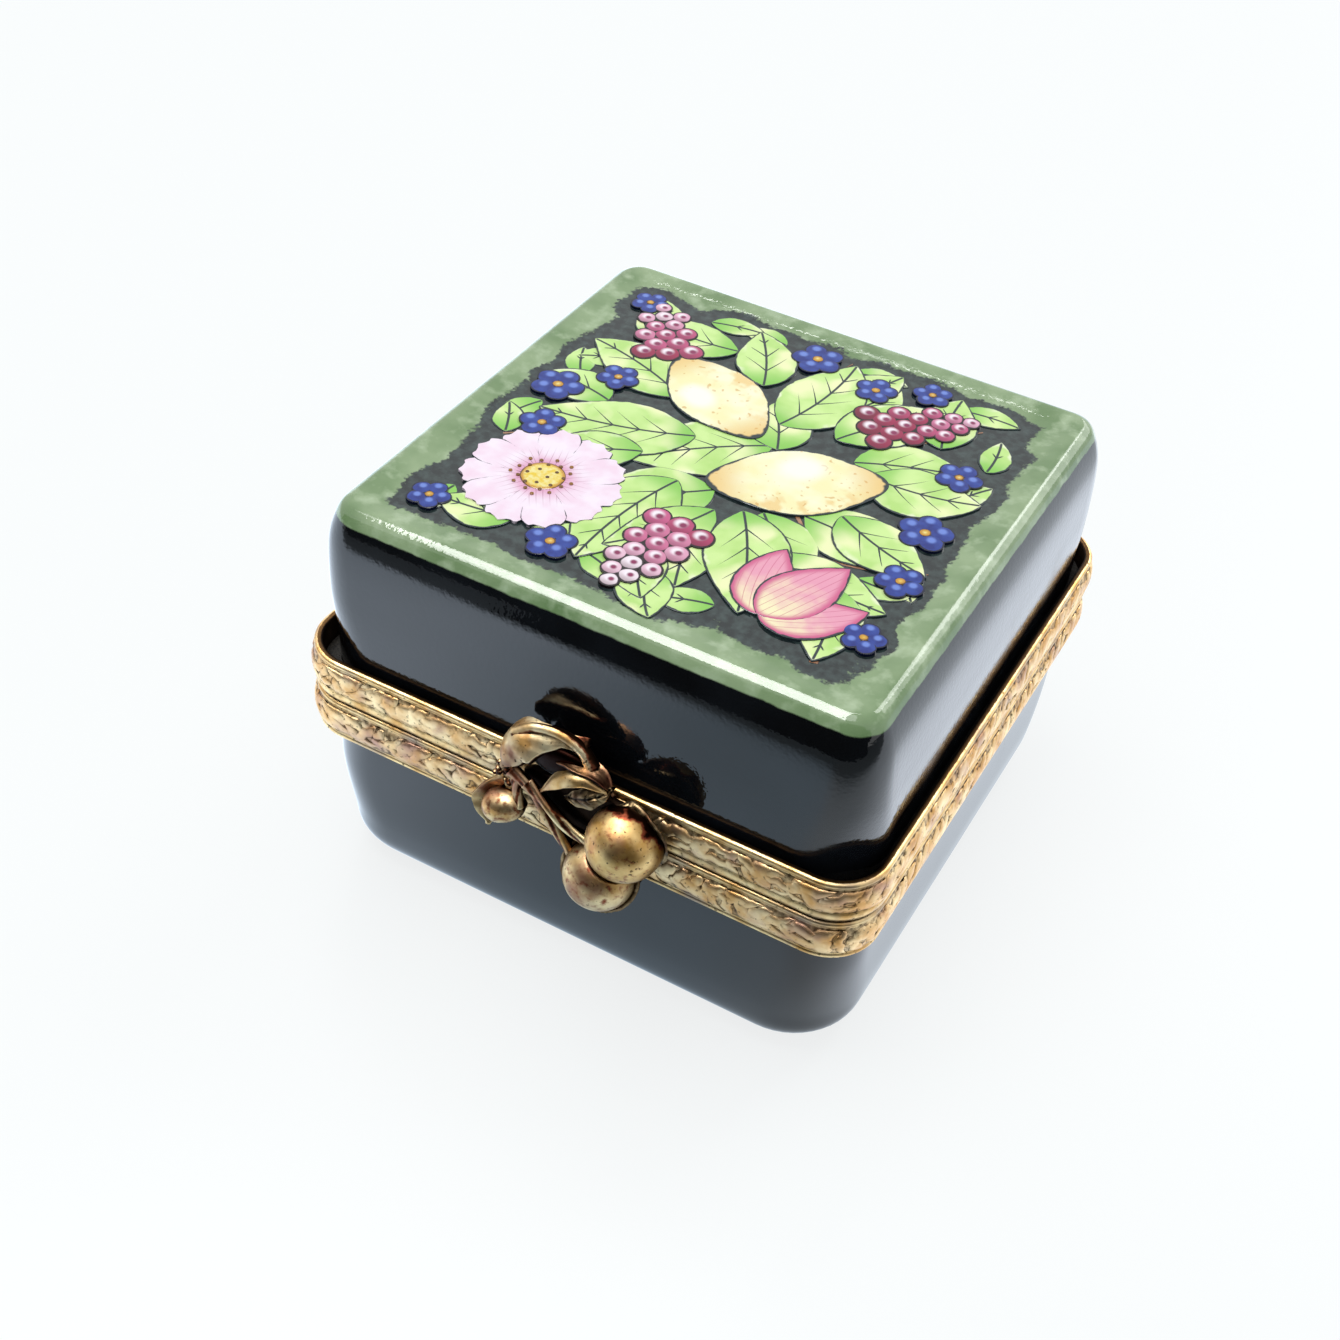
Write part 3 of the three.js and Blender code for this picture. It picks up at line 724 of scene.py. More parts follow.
def lay_daisy(centre, petals, lift):
    for index in range(petals):
        heading = index * 360 / petals + 9
        start = at_angle(centre, 0.7, math.radians(heading))
        width = petal_width(PETAL_HALF)
        petal_lift = lift + (index % 2) * PETAL_LIFT
        strip(
            "daisy", start, heading, PETAL_LENGTH, width, petal_lift, index / petals, 8,
            tip=lambda s: -0.5 * s**2 + 0.16 * math.cos(s * 7), rows=16, columns=11,
        )
    round_spot("flower_eye", centre, 1.7, lift + 0.03, 0.6, rows=15, crown=0.06)
    for index in range(STAMENS):
        reach = 0.4 + 2.1 * math.sqrt(index / STAMENS)
        spot = at_angle(centre, reach, index * GOLDEN_ANGLE)
        round_spot("stamen", spot, 0.15, lift + 0.1, index / STAMENS, rows=5)


def lay_blue_flower(centre, heading, radius, lift):
    for index in range(5):
        spot = at_angle(centre, radius * 0.56, math.radians(heading + index * 72))
        round_spot("blue", spot, radius * 0.45, lift + index * 0.002, index / 5, rows=11)
    round_spot("flower_eye", centre, radius * 0.2, lift + 0.03, 0.2, rows=7)


def lay_currants(start, heading, count, tone, lift):
    """A cluster of currants, in rows of three and two that grow smaller and paler towards its end."""
    turn = math.radians(heading)
    index = 0
    for row in range(count):
        share = row / (count - 1)
        radius = 1.12 - 0.34 * share
        wide = 1 if row == count - 1 else 3 - row % 2
        for place in range(wide):
            index += 1
            reach = row * 1.36 + 0.15 * math.sin(index * 2.3)
            offset = (place - (wide - 1) / 2) * radius * 1.72
            x = start[0] + reach * math.cos(turn) - offset * math.sin(turn)
            y = start[1] + reach * math.sin(turn) + offset * math.cos(turn)
            pale = min(tone + 0.6 * share + 0.1 * math.sin(index * 1.7), 1.0)
            round_spot("currant", (x, y), radius, lift + index * 0.0016, pale, rows=11)


def lay_tulip(place, lift):
    for index, (lean, size) in enumerate([(34, 0.9), (-34, 0.9), (0, 1.0)]):
        width = leaf_width(2.7 * size, 0.42)
        petal_lift = lift + index * PETAL_LIFT
        strip("tulip", place, 68 + lean, 8.8 * size, width, petal_lift, index / 3, -lean * 0.9)


def lay_fruit_and_flowers(lift):
    for centre, radius, heading in LEMONS:
        round_spot("lemon", centre, radius, lift, 0.5, 0.78, heading, 27, 0.05, 1.5)
        lift += 0.02
    lay_tulip(TULIP, lift)
    lay_daisy(DAISY, DAISY_PETALS, lift)
    for start, heading, count, tone in CURRANT_CLUSTERS:
        lay_currants(start, heading, count, tone, lift)
    for centre, heading, radius in BLUE_FLOWERS:
        lay_blue_flower(centre, heading, radius, lift + 0.01)


lay_fruit_and_flowers(fruit_lift)
print("motifs:", {kind: len(parts) for kind, parts in slabs.items()})

# %% [markdown]
# Overglaze enamel is a thin coloured glass. Washes of two or three colours run into each other, and
# a fine dark line closes each shape. The line is drawn where the carried distance to the outline is
# small, and it wavers with a little noise, as a pen does.

# %% Paint that all motifs share
LINE = "#2c383c"


def start_paint(name):
    """A glossy enamel paint, as smooth as the glaze that it was fired on."""
    material, tree, shader = start_material(name, IOR=1.5, Roughness=0.11)
    raised(tree, shader, clouds(tree, 0.9, 2.0), 0.004)
    return material, tree, shader


def outlined(tree, wash, thickness, line):
    """Close the shape with a dark line that swells and thins."""
    waver = computed(tree, "MULTIPLY_ADD", clouds(tree, 0.8, 1.0), 0.08, -0.04)
    edge = computed(tree, "ADD", carried(tree, "edge"), waver)
    return mixed(tree, stepped(tree, edge, thickness * 0.55, thickness), line, wash)


def shine(tree, wash, place, size, light):
    """A soft light spot on a round motif, at this place from -1 to 1."""
    aside = computed(tree, "SUBTRACT", carried(tree, "along"), place[0])
    above = computed(tree, "SUBTRACT", carried(tree, "across"), place[1])
    squares = [computed(tree, "POWER", offset, 2.0) for offset in (aside, above)]
    reach = computed(tree, "SQRT", computed(tree, "ADD", *squares))
    return mixed(tree, stepped(tree, reach, size, size * 0.35), wash, light)


def streaked(tree, wash, spacing, line, where, strength, tone):
    """Fine streaks along a petal, at this spacing in millimetres, where the given mask is 1."""
    phase = computed(tree, "FRACT", computed(tree, "DIVIDE", carried(tree, "across"), spacing))
    streaks = computed(tree, "MULTIPLY", stepped(tree, phase, *line), where)
    return mixed(tree, computed(tree, "MULTIPLY", streaks, strength), wash, tone)


# %% Leaf and twig paint
VEIN_SPACING = 2.1


def leaf_lines(tree):
    """1 on a leaf's middle rib and slanted side veins, which thin out towards its outline."""
    away = computed(tree, "ABSOLUTE", carried(tree, "across"))
    edge = carried(tree, "edge")
    slant = computed(tree, "MULTIPLY_ADD", away, -1.25, carried(tree, "along"))
    phase = computed(tree, "FRACT", computed(tree, "DIVIDE", slant, VEIN_SPACING))
    thin = computed(tree, "MULTIPLY_ADD", away, -0.055, 0.12)
    vein = stepped(tree, computed(tree, "SUBTRACT", thin, phase), 0.0, 0.02)
    vein = computed(tree, "MULTIPLY", vein, stepped(tree, slant, 0.5, 0.9))
    vein = computed(tree, "MULTIPLY", vein, stepped(tree, edge, 0.7, 1.0))
    rib = computed(tree, "MULTIPLY", stepped(tree, away, 0.13, 0.07), stepped(tree, edge, 0.1, 0.3))
    return computed(tree, "MAXIMUM", vein, rib)


def leaf_wash(tree):
    wash = mixed(tree, clouds(tree, 2.6, 2.0, 0.38, 0.62), "#bce47f", "#d6f49c")
    wash = mixed(tree, clouds(tree, 3.4, 1.0, 0.5, 0.66, 4.0), wash, "#f7fbbe")
    rim = computed(tree, "ADD", carried(tree, "edge"), clouds(tree, 1.5))
    wash = mixed(tree, stepped(tree, rim, 0.75, 0.15), wash, "#f4fbd0")
    wash = mixed(tree, stepped(tree, carried(tree, "along"), 3.0, 0.4), wash, "#8fd05a")
    return mixed(tree, leaf_lines(tree), wash, LINE)


def twig_wash(tree):
    return mixed(tree, clouds(tree, 1.0, 3.0), "#8c5e42", "#c09070")


# %% Fruit paints
CURRANT_TONES = [(0.0, "#7d1736"), (0.35, "#a82552"), (0.6, "#cf5d8c"), (0.85, "#eeb6cd"), (1.0, "#f7e6ec")]


def lemon_wash(tree):
    wash = mixed(tree, clouds(tree, 2.4, 2.0), "#fdf5bb", "#fffdd8")
    ends = stepped(tree, computed(tree, "ABSOLUTE", carried(tree, "along")), 0.62, 1.0)
    wash = mixed(tree, ends, wash, "#f4cf86")
    low = stepped(tree, computed(tree, "ADD", carried(tree, "across"), clouds(tree, 1.6)), 0.0, -0.6)
    wash = mixed(tree, low, wash, "#f8d997")
    pores = clouds(tree, 0.42, 0.0, 0.73, 0.78, 6.0)
    wash = mixed(tree, computed(tree, "MULTIPLY", pores, 0.55), wash, "#d99a3c")
    return shine(tree, wash, (0.1, 0.4), 0.5, "#fffdf0")


def currant_wash(tree):
    wash = add(tree, "ShaderNodeValToRGB", {0: carried(tree, "tone")}, stops=CURRANT_TONES).outputs[0]
    low = stepped(tree, carried(tree, "across"), 0.2, -0.9)
    wash = mixed(tree, computed(tree, "MULTIPLY", low, 0.5), wash, "#5d1230")
    wash = shine(tree, wash, (-0.1, 0.22), 0.62, "#fff4fa")
    return shine(tree, wash, (0.12, 0.1), 0.42, "#8e2a58")


# %% Flower paints


def tulip_wash(tree):
    along = computed(tree, "MULTIPLY_ADD", clouds(tree, 1.2), 1.6, carried(tree, "along"))
    edge = carried(tree, "edge")
    wash = mixed(tree, stepped(tree, along, 1.2, 6.5), "#fdf3c4", "#f0a3ba")
    wash = mixed(tree, stepped(tree, edge, 0.9, 0.2), wash, "#d8648f")
    return streaked(tree, wash, 0.55, (0.16, 0.04), stepped(tree, edge, 0.3, 0.8), 0.6, "#c94f78")


def daisy_wash(tree):
    along = carried(tree, "along")
    wash = mixed(tree, clouds(tree, 1.8, 2.0), "#f9dcec", "#fdeff9")
    wash = mixed(tree, stepped(tree, along, 2.4, 0.6), wash, "#e6a0c2")
    return streaked(tree, wash, 0.5, (0.14, 0.03), stepped(tree, along, 3.4, 1.2), 0.7, "#9a4a6a")


def blue_wash(tree):
    wash = mixed(tree, clouds(tree, 0.9, 2.0), "#182a80", "#2b469f")
    return shine(tree, wash, (-0.1, 0.3), 0.5, "#6f8ada")


def eye_wash(tree):
    wash = mixed(tree, clouds(tree, 0.4, 2.0), "#f2cf3e", "#f9eca0")
    return mixed(tree, stepped(tree, carried(tree, "edge"), 0.45, 0.1), wash, "#cf9430")


def stamen_wash(tree):
    return mixed(tree, carried(tree, "tone"), "#5a3a1c", "#9a6a20")


# %% Fire the painting
# For each kind of slab: its piece, its wash, and its outline's thickness and colour.
PAINTS = {
    "twig": ("painting_twigs", twig_wash, 0.07, "#3a2a24"),
    "leaf": ("painting_leaves", leaf_wash, 0.2, LINE),
    "lemon": ("painting_lemons", lemon_wash, 0.16, LINE),
    "tulip": ("painting_tulip", tulip_wash, 0.2, LINE),
    "daisy": ("painting_daisy", daisy_wash, 0.13, LINE),
    "currant": ("painting_currants", currant_wash, 0.2, "#1f1218"),
    "blue": ("painting_blue_flowers", blue_wash, 0.16, "#0e1330"),
    "flower_eye": ("painting_flower_eyes", eye_wash, 0.1, "#6a4a20"),
    "stamen": ("painting_stamens", stamen_wash, None, None),
}


def fire(kind, name, make_wash, thickness, line):
    """Join every slab of one kind into one piece, and give it its paint."""
    material, tree, shader = start_paint(f"{kind}_enamel")
    wash = make_wash(tree)
    if thickness:
        wash = outlined(tree, wash, thickness, line)
    tree.links.new(wash, shader.inputs["Base Color"])
    points, faces, carries = joined(slabs[kind])
    make_piece(name, "lid", points, faces, [material], carries=carries, sharp=50)


for slab_kind, looks in PAINTS.items():
    fire(slab_kind, *looks)

# %% [markdown]
# The lid's own surface carries its distance to the nearest motif, measured with a k-d tree. The
# paint turns it into the black ground: solid between the motifs, and feathered out into the green
# border by brush strokes of noise. Round the edge the green thins over the black of the sides.

# %% Ground and border paint
GREEN_STARTS = (33.39, 33.55)
GROUND_HALF = 18.0


def make_lid_paint():
    material, tree, shader = start_material("painted_lid_glaze", IOR=GLAZE_IOR)
    sage = mixed(tree, clouds(tree, 5.0, 3.0, 0.35, 0.65, 1.5), "#728e5f", "#97ad82")
    sage = mixed(tree, clouds(tree, 1.6, 4.0, 0.5, 0.75, 2.5), sage, "#b0c39d")
    slow = computed(tree, "MULTIPLY", clouds(tree, 3.4, 1.0, 0.2, 0.8, 3.5), 2.8)
    quick = computed(tree, "MULTIPLY", clouds(tree, 0.36, 5.0, 0.2, 0.8, 4.5), 1.5)
    reach = computed(tree, "ADD", carried(tree, "spray"), computed(tree, "ADD", slow, quick))
    slate = mixed(tree, clouds(tree, 0.7, 4.0, 0.4, 0.7, 5.5), "#1d2627", "#3c4a48")
    top = mixed(tree, stepped(tree, reach, 4.6, 3.9), sage, slate)
    place = add(tree, "ShaderNodeTexCoord").outputs["Object"]
    height = add(tree, "ShaderNodeSeparateXYZ", {0: place}).outputs[2]
    wavering = computed(tree, "MULTIPLY_ADD", clouds(tree, 1.4, 2.0, 0.2, 0.8, 6.5), 0.16 * MM, height)
    green = stepped(tree, wavering, *(end * MM for end in GREEN_STARTS))
    tree.links.new(mixed(tree, green, black_ground(tree), top), shader.inputs["Base Color"])
    glaze_skin(tree, shader, 0.01, 0.5, 0.34)
    return material


# %% Porcelain lid
LID_LINING = [(18.6, 31.6), (19.3, 31.42), (19.95, 30.85), (20.2, 30.0), (20.2, 19.0)]
LID_ROOF = 31.6
LID_RIM = [
    (20.28, 1.7, 18.85),
    (20.45, 1.9, 18.8),
    (22.55, 5.0, 18.8),
    (22.72, 5.12, 18.83),
    (22.82, 5.22, 18.95),
]
PAINTED_ABOVE = 32
FAR_FROM_SPRAY = 9.0


def spray_distances(points):
    """How far each point of the top is from the nearest motif, and further on the border."""
    tree = KDTree(len(painted_places))
    for index, (x, y) in enumerate(painted_places):
        tree.insert((x, y, 0), index)
    tree.balance()
    distances = []
    for x, y, z in points:
        beyond = 1.3 * max(0, max(abs(x), abs(y)) - GROUND_HALF)
        distances.append(tree.find((x, y, 0))[2] + beyond if z > PAINTED_ABOVE else FAR_FROM_SPRAY)
    return distances


def make_porcelain_lid():
    parts = [
        (flat_levels(0.6, FLOOR_HALF, LID_ROOF, FLOOR_STEP), INSIDE),
        (lining_levels(LID_LINING), INSIDE),
        (LID_RIM, BARE),
        (smooth_through(LID_WALL, 64)[1:].tolist(), OUTSIDE),
        (smooth_through(LID_LIP, 12)[1:].tolist(), OUTSIDE),
        (flat_levels(0.5, FLAT_HALF, LID_FLAT, 0.6)[::-1], OUTSIDE),
    ]
    points, faces, choice = shell(parts, (INSIDE, OUTSIDE))
    looks = [make_lid_paint(), white_glaze, biscuit]
    carries = {"spray": spray_distances(points)}
    make_piece("porcelain_lid", "lid", points, faces, looks, choice, carries, ["lid_shell"])


make_porcelain_lid()

# %% [markdown]
# The mounts, the hinge and the sprig are brass, cast or drawn, gilt and then darkened with a patina
# that stays in the hollows while handling rubs the heights bright. The pieces carry their relief
# from 0 in a hollow to 1 on a height, and the finish lays dark brown, warm gold and pale gold by it.

# %% Brass finishes
PLAIN_RELIEF = 0.62


def make_brass(name, tones, gloss, relief=True, pits=0.5, wave=0.012, fringe=None):
    """Aged brass in tones from the hollows up: dark, middle, bright and a pink or grey tarnish.

    The fringe is the red-brown tone where the dark patina thins out over the metal."""
    dark, middle, bright, tarnish = tones
    material, tree, shader = start_material(name, Metallic=1.0)
    metal = mixed(tree, clouds(tree, 1.7, 4.0), middle, bright)
    metal = mixed(tree, clouds(tree, 2.9, 3.0, 0.52, 0.72, 7.0), metal, tarnish)
    worn = computed(tree, "MULTIPLY_ADD", clouds(tree, 0.5, 3.0, 0.2, 0.8, 8.0), 0.5, -0.25)
    worn = computed(tree, "ADD", worn, carried(tree, "relief") if relief else PLAIN_RELIEF)
    if fringe:
        metal = mixed(tree, stepped(tree, worn, 0.3, 0.56), fringe, metal)
    bare = stepped(tree, worn, 0.08, 0.34) if fringe else stepped(tree, worn, 0.12, 0.5)
    metal = mixed(tree, bare, dark, metal)
    spots = computed(tree, "MULTIPLY", clouds(tree, 0.32, 1.0, 0.66, 0.74, 9.0), pits)
    tree.links.new(mixed(tree, spots, metal, dark), shader.inputs["Base Color"])
    dull = computed(tree, "MULTIPLY_ADD", spots, 0.8, clouds(tree, 0.9, 3.0, 0.2, 0.8, 10.0))
    roughened(tree, shader, dull, *gloss)
    raised(tree, shader, clouds(tree, 0.45, 4.0, 0.1, 0.9, 11.0), wave)
    return material


GILT_TONES = ("#3a2716", "#d2a264", "#f4d9a8", "#b8907a")
RIM_TONES = ("#4e3820", "#d2a462", "#f4d9a2", "#ae9880")
PLAIN_TONES = ("#3a2616", "#94713e", "#d2b274", "#8f7a68")
# Near-black brass that stands for painted shade, on faces deep in a gap or behind the sprig.
SHADE_TONES = ("#0a0705", "#1c130e", "#30231a", "#241410")
ANTIQUE_TONES = ("#1e120b", "#bd9358", "#f4deac", "#a06e5a")
COPPERY_TONES = ("#180a07", "#6a3a2c", "#c89c74", "#42201a")
POLISHED_TONES = ("#1e0d07", "#bc8f4a", "#e9c98c", "#bd866a")
SATIN_TONES = ("#3a2216", "#b8935a", "#e6cf9f", "#9c705a")
CREAM_TONES = ("#24150c", "#c79c5e", "#f6e6bc", "#8a6450")
PATINA_TONES = ("#120b08", "#4a3222", "#b39a72", "#6a4034")
gilt_brass = make_brass("gilt_brass", GILT_TONES, (0.36, 0.56))
rim_brass = make_brass("rim_brass", RIM_TONES, (0.34, 0.5), pits=0.7, wave=0.014)
plain_brass = make_brass("plain_brass", PLAIN_TONES, (0.24, 0.44), relief=False)
painted_shade_brass = make_brass("painted_shade_brass", SHADE_TONES, (0.4, 0.6), relief=False)
antique_brass = make_brass("antique_brass", ANTIQUE_TONES, (0.34, 0.54), fringe="#7c4228")
coppery_brass = make_brass("coppery_brass", COPPERY_TONES, (0.24, 0.44))
polished_brass = make_brass("polished_brass", POLISHED_TONES, (0.34, 0.48), True, 0.8, 0.006, "#8c4630")
satin_brass = make_brass("satin_brass", SATIN_TONES, (0.38, 0.52), True, 0.6, 0.006, "#844630")
cream_brass = make_brass("cream_brass", CREAM_TONES, (0.44, 0.6), True, 0.9, 0.03, "#7c4630")
patinated_brass = make_brass("patinated_brass", PATINA_TONES, (0.3, 0.55))

# %% [markdown]
# A mount is drawn as one section swept round the rim. It has a bowed field between two grooves, a
# bead along its far edge, and a flat flange over the porcelain's rim. At the parting the base's mount
# ends in a bright bead and the lid's in a plain face. Away is the distance from the parting face, so
# the same section serves both mounts, turned over.

# %% The mounts
MOUNT_FACE = {"base": 17.7, "lid": 18.1}
MOUNT_WAY = {"base": -1, "lid": 1}
MOUNT_CORE = 19.9
MOUNT_HEIGHT = 3.6
BEAD_RADIUS = 0.26
BEAD_HALF = 23.74
GROOVE_HALF = 23.93
FIELD_MIDDLE = 1.8
FIELD_REACH = 1.18
FIELD_HALF = 24.17
FIELD_BOW = 0.2
FIELD_STARTS = {"base": 0.68, "lid": 0.95}
FIELD_ENDS = 2.92
PLAIN_FACE = [
    (23.8, -0.06, 0.2),
    (23.98, 0.0, 0.42),
    (24.08, 0.3, 0.5),
    (24.1, 0.8, 0.46),
    (24.02, 0.88, 0.25),
]
LINED_FACE = [(23.48, 3.58, -0.4), (23.35, 3.5, -0.4), (23.35, 0.7, -0.4), (23.1, 0.6, -0.4)]
FLANGE = [
    (20.62, 0.6, 0.6),
    (20.52, 0.5, 0.8),
    (20.5, 0.3, 0.9),
    (20.52, 0.1, 0.8),
    (20.62, 0.0, 0.7),
    (22.5, 0.0, 0.6),
]
FLANGE_CORNER = 1.6
CHASED, BRIGHT, DARK = 0, 1, 2


def field_half(away):
    """How far out the field's surface lies at this distance from the parting face."""
    return FIELD_HALF - FIELD_BOW * np.clip(np.abs(away - FIELD_MIDDLE) / FIELD_REACH, 0, 1.15) ** 2


def bead(away, first, last):
    """Points over a bead: half width, distance from the parting face, and relief."""
    angles = np.radians(np.linspace(first, last, 9))
    return [(BEAD_HALF + BEAD_RADIUS * math.cos(a), away + BEAD_RADIUS * math.sin(a), 0.9) for a in angles]


def mount_section(body):
    """Points from the parting round to the flange, and the finish of each.

    A point is half width, distance from the parting face and relief."""
    steps = np.linspace(FIELD_STARTS[body], FIELD_ENDS, 12)
    field = [(float(field_half(away)), away, 0.34) for away in steps]
    bright = [*bead(BEAD_RADIUS - 0.06, -90, 50), (GROOVE_HALF, 0.5, 0.3), (GROOVE_HALF, 0.58, 0.3)]
    near = PLAIN_FACE if body == "lid" else bright
    far = [(GROOVE_HALF, 3.02, 0.3), *bead(MOUNT_HEIGHT - BEAD_RADIUS, -50, 70), (23.72, MOUNT_HEIGHT, 0.1)]
    finishes = [BRIGHT] * (len(near) - 1) + [CHASED] * (1 + len(field)) + [BRIGHT] * len(far)
    # The lined inner face, down in the gap by the porcelain, is painted shade: near-black brass.
    finishes += [DARK] * len(LINED_FACE) + [BRIGHT] * len(FLANGE)
    return [*near, *field, *far, *LINED_FACE, *FLANGE], finishes


def make_mount(body):
    section, finishes = mount_section(body)
    rings, relief, choice = [], [], []
    for (half, away, height), finish in list(zip(section, finishes))[:: MOUNT_WAY[body]]:
        corner = max(half - MOUNT_CORE, FLANGE_CORNER)
        rings.append(square_ring(half, corner, MOUNT_FACE[body] + MOUNT_WAY[body] * away))
        count = len(rings[-1])
        relief += [height] * count
        choice += [finish] * count
    points, faces = loft(rings, closed=True)
    make_piece(
        f"{body}_mount", body, points, faces, [gilt_brass, rim_brass, painted_shade_brass], choice,
        {"relief": relief}, [f"{body}_band"],
    )


make_mount("base")
make_mount("lid")

# %% [markdown]
# The field of each mount is chased with small overlapping leaves. They repeat and follow the rim,
# so Geometry Nodes lays them: a curve round the field is cut at even steps, and each step takes a
# leaf from a small set, slanted across the field, turned and sized a little at random.

# %% Four little brass leaves
LEAF_TOP = 0.18
LEAF_ROOT = -0.08
LITTLE_LEAVES = [(3.0, 1.25, 0.8), (2.2, 1.4, -0.9), (3.3, 0.95, 1.0), (1.8, 1.15, 0.5)]


def small_leaf(length, width, hook, seed):
    """Points, faces and relief in millimetres of one chased leaf, lying along X."""
    draw = random.Random(seed)
    rows, columns = 8, 5
    points = []
    wobble = [draw.uniform(-0.15, 0.15) for _ in range(rows)]
    for i in range(rows):
        t = i / (rows - 1)
        half = max(width / 2 * math.sin(math.pi * (0.06 + 0.9 * t) ** 0.75) ** 0.8, 0.03)
        for j in range(columns):
            s = 2 * j / (columns - 1) - 1
            crest = (1 - abs(s) ** 1.8) * math.sin(math.pi * (0.12 + 0.8 * t)) ** 0.5
            groove = 0.3 if j == columns // 2 and 0 < i < rows - 1 else 0.0
            height = LEAF_TOP * (crest - groove * crest) * (1 - 0.25 * t)
            points.append(((t - 0.5) * length, s * half + hook * (t - 0.4) ** 2 + wobble[i], height))
    faces, border = grid(rows, columns)
    first, count = len(points), len(border)
    points += [(points[index][0], points[index][1], LEAF_ROOT) for index in border]
    for k in range(count):
        after = (k + 1) % count
        faces.append((border[k], border[after], first + after, first + k))
    faces.append(tuple(first + k for k in range(count - 1, -1, -1)))
    return points, faces, [z for _, _, z in points]


def leaf_set():
    """A collection of leaf patterns for the nodes to choose from. It isn't in the scene."""
    patterns = bpy.data.collections.new("chased_leaf_patterns")
    for index, (length, width, hook) in enumerate(LITTLE_LEAVES):
        points, faces, relief = small_leaf(length, width, hook, 20 + index)
        mesh = new_mesh(f"chased_leaf_{index}", points, faces, {"lift": relief})
        patterns.objects.link(bpy.data.objects.new(f"chased_leaf_{index}", mesh))
    return patterns


chased_patterns = leaf_set()

# %% The tree that lays leaves along a curve
CHASING_FORM = {
    "Spacing": 1.25 * MM,
    "Row height": 0.5 * MM,
    "Slant": 0.5,
    "Turn spread": 0.8,
    "Size spread": 0.3,
}
CHASING_INPUTS = {"Curve": "Geometry", "Leaves": "Collection", "Seed": "Int", "Brass": "Material"}
CHASING_INPUTS.update({name: "Float" for name in CHASING_FORM})
ROW_SHIFT = 0.3 * MM


def any_number(tree, spread, seed):
    """A random number between minus and plus the spread, for each point of the curve."""
    return add(tree, "FunctionNodeRandomValue", {2: -spread, 3: spread, "Seed": seed}).outputs[1]


def lay_row(tree, given, steps, facing, pool, row):
    """The leaves of one row, above the curve for 1 and below it for -1."""
    seed = computed(tree, "ADD", given["Seed"], 10 + 7 * row)
    turn = computed(tree, "MULTIPLY", any_number(tree, 1.0, seed), given["Turn spread"])
    lean = computed(tree, "MULTIPLY_ADD", given["Slant"], float(row), turn)
    shift = any_number(tree, ROW_SHIFT, computed(tree, "ADD", seed, 1))
    level = computed(tree, "MULTIPLY_ADD", given["Row height"], float(row), shift)
    lifted = add(tree, "ShaderNodeCombineXYZ", {2: level}).outputs[0]
    placed = add(tree, "GeometryNodeSetPosition", {"Geometry": steps, "Offset": lifted}).outputs[0]
    by = add(tree, "FunctionNodeAxisAngleToRotation", {"Axis": (0, 0, 1), "Angle": lean}).outputs[0]
    turned = add(tree, "FunctionNodeRotateRotation", {0: facing, 1: by}, rotation_space="LOCAL").outputs[0]
    grow = any_number(tree, 1.0, computed(tree, "ADD", seed, 2))
    size = computed(tree, "MULTIPLY_ADD", grow, given["Size spread"], 1.0)
    sockets = {"Points": placed, "Instance": pool, "Pick Instance": True, "Rotation": turned, "Scale": size}
    return add(tree, "GeometryNodeInstanceOnPoints", sockets).outputs[0]


def chasing_tree():
    """Two rows of leaves that lean towards each other along a closed curve."""
    tree = bpy.data.node_groups.new("chased_leaves", "GeometryNodeTree")
    for name, kind in CHASING_INPUTS.items():
        tree.interface.new_socket(name, in_out="INPUT", socket_type=f"NodeSocket{kind}")
    tree.interface.new_socket("Leaves laid", in_out="OUTPUT", socket_type="NodeSocketGeometry")
    given = add(tree, "NodeGroupInput").outputs
    sockets = {"Curve": given["Curve"], "Length": given["Spacing"]}
    steps = add(tree, "GeometryNodeResampleCurve", sockets, mode="LENGTH").outputs[0]
    tangent = add(tree, "GeometryNodeInputTangent").outputs[0]
    across = {0: tangent, 1: (0, 0, 1)}
    outward = add(tree, "ShaderNodeVectorMath", across, operation="CROSS_PRODUCT").outputs[0]
    sockets = {0: tangent, 1: outward}
    facing = add(tree, "FunctionNodeAxesToRotation", sockets, primary_axis="X", secondary_axis="Z").outputs[0]
    sockets = {"Collection": given["Leaves"], "Separate Children": True}
    pool = add(tree, "GeometryNodeCollectionInfo", sockets).outputs[0]
    both_rows = add(tree, "GeometryNodeJoinGeometry")
    for row in (-1, 1):
        tree.links.new(lay_row(tree, given, steps, facing, pool, row), both_rows.inputs[0])
    solid = add(tree, "GeometryNodeRealizeInstances", {0: both_rows.outputs[0]}).outputs[0]
    finished = add(tree, "GeometryNodeSetMaterial", {"Geometry": solid, "Material": given["Brass"]})
    add(tree, "NodeGroupOutput", {0: finished.outputs[0]})
    return tree


chasing = chasing_tree()
SOCKETS = {item.name: item.identifier for item in chasing.interface.items_tree if item.in_out == "INPUT"}

# %% [markdown]
# The nodes lay flat leaves in the air, and the field is bowed and turns the corners. So each vertex
# is then seated: it keeps its height along the rim and goes out to the field's surface plus the
# leaf's own relief there. That relief also drives the patina.

# %% Lay and seat the chased leaves


def rim_curve(body):
    """A closed curve round the middle of a mount's field."""
    data = bpy.data.curves.new(f"{body}_rim_curve", "CURVE")
    data.dimensions = "3D"
    spline = data.splines.new("POLY")
    z = MOUNT_FACE[body] + MOUNT_WAY[body] * FIELD_MIDDLE
    ring = square_ring(FIELD_HALF, FIELD_HALF - MOUNT_CORE, z)
    spline.points.add(len(ring) - 1)
    for point, place in zip(spline.points, ring):
        point.co = (*(value * MM for value in place), 1)
    spline.use_cyclic_u = True
    return new_object(f"{body}_rim_curve", data)


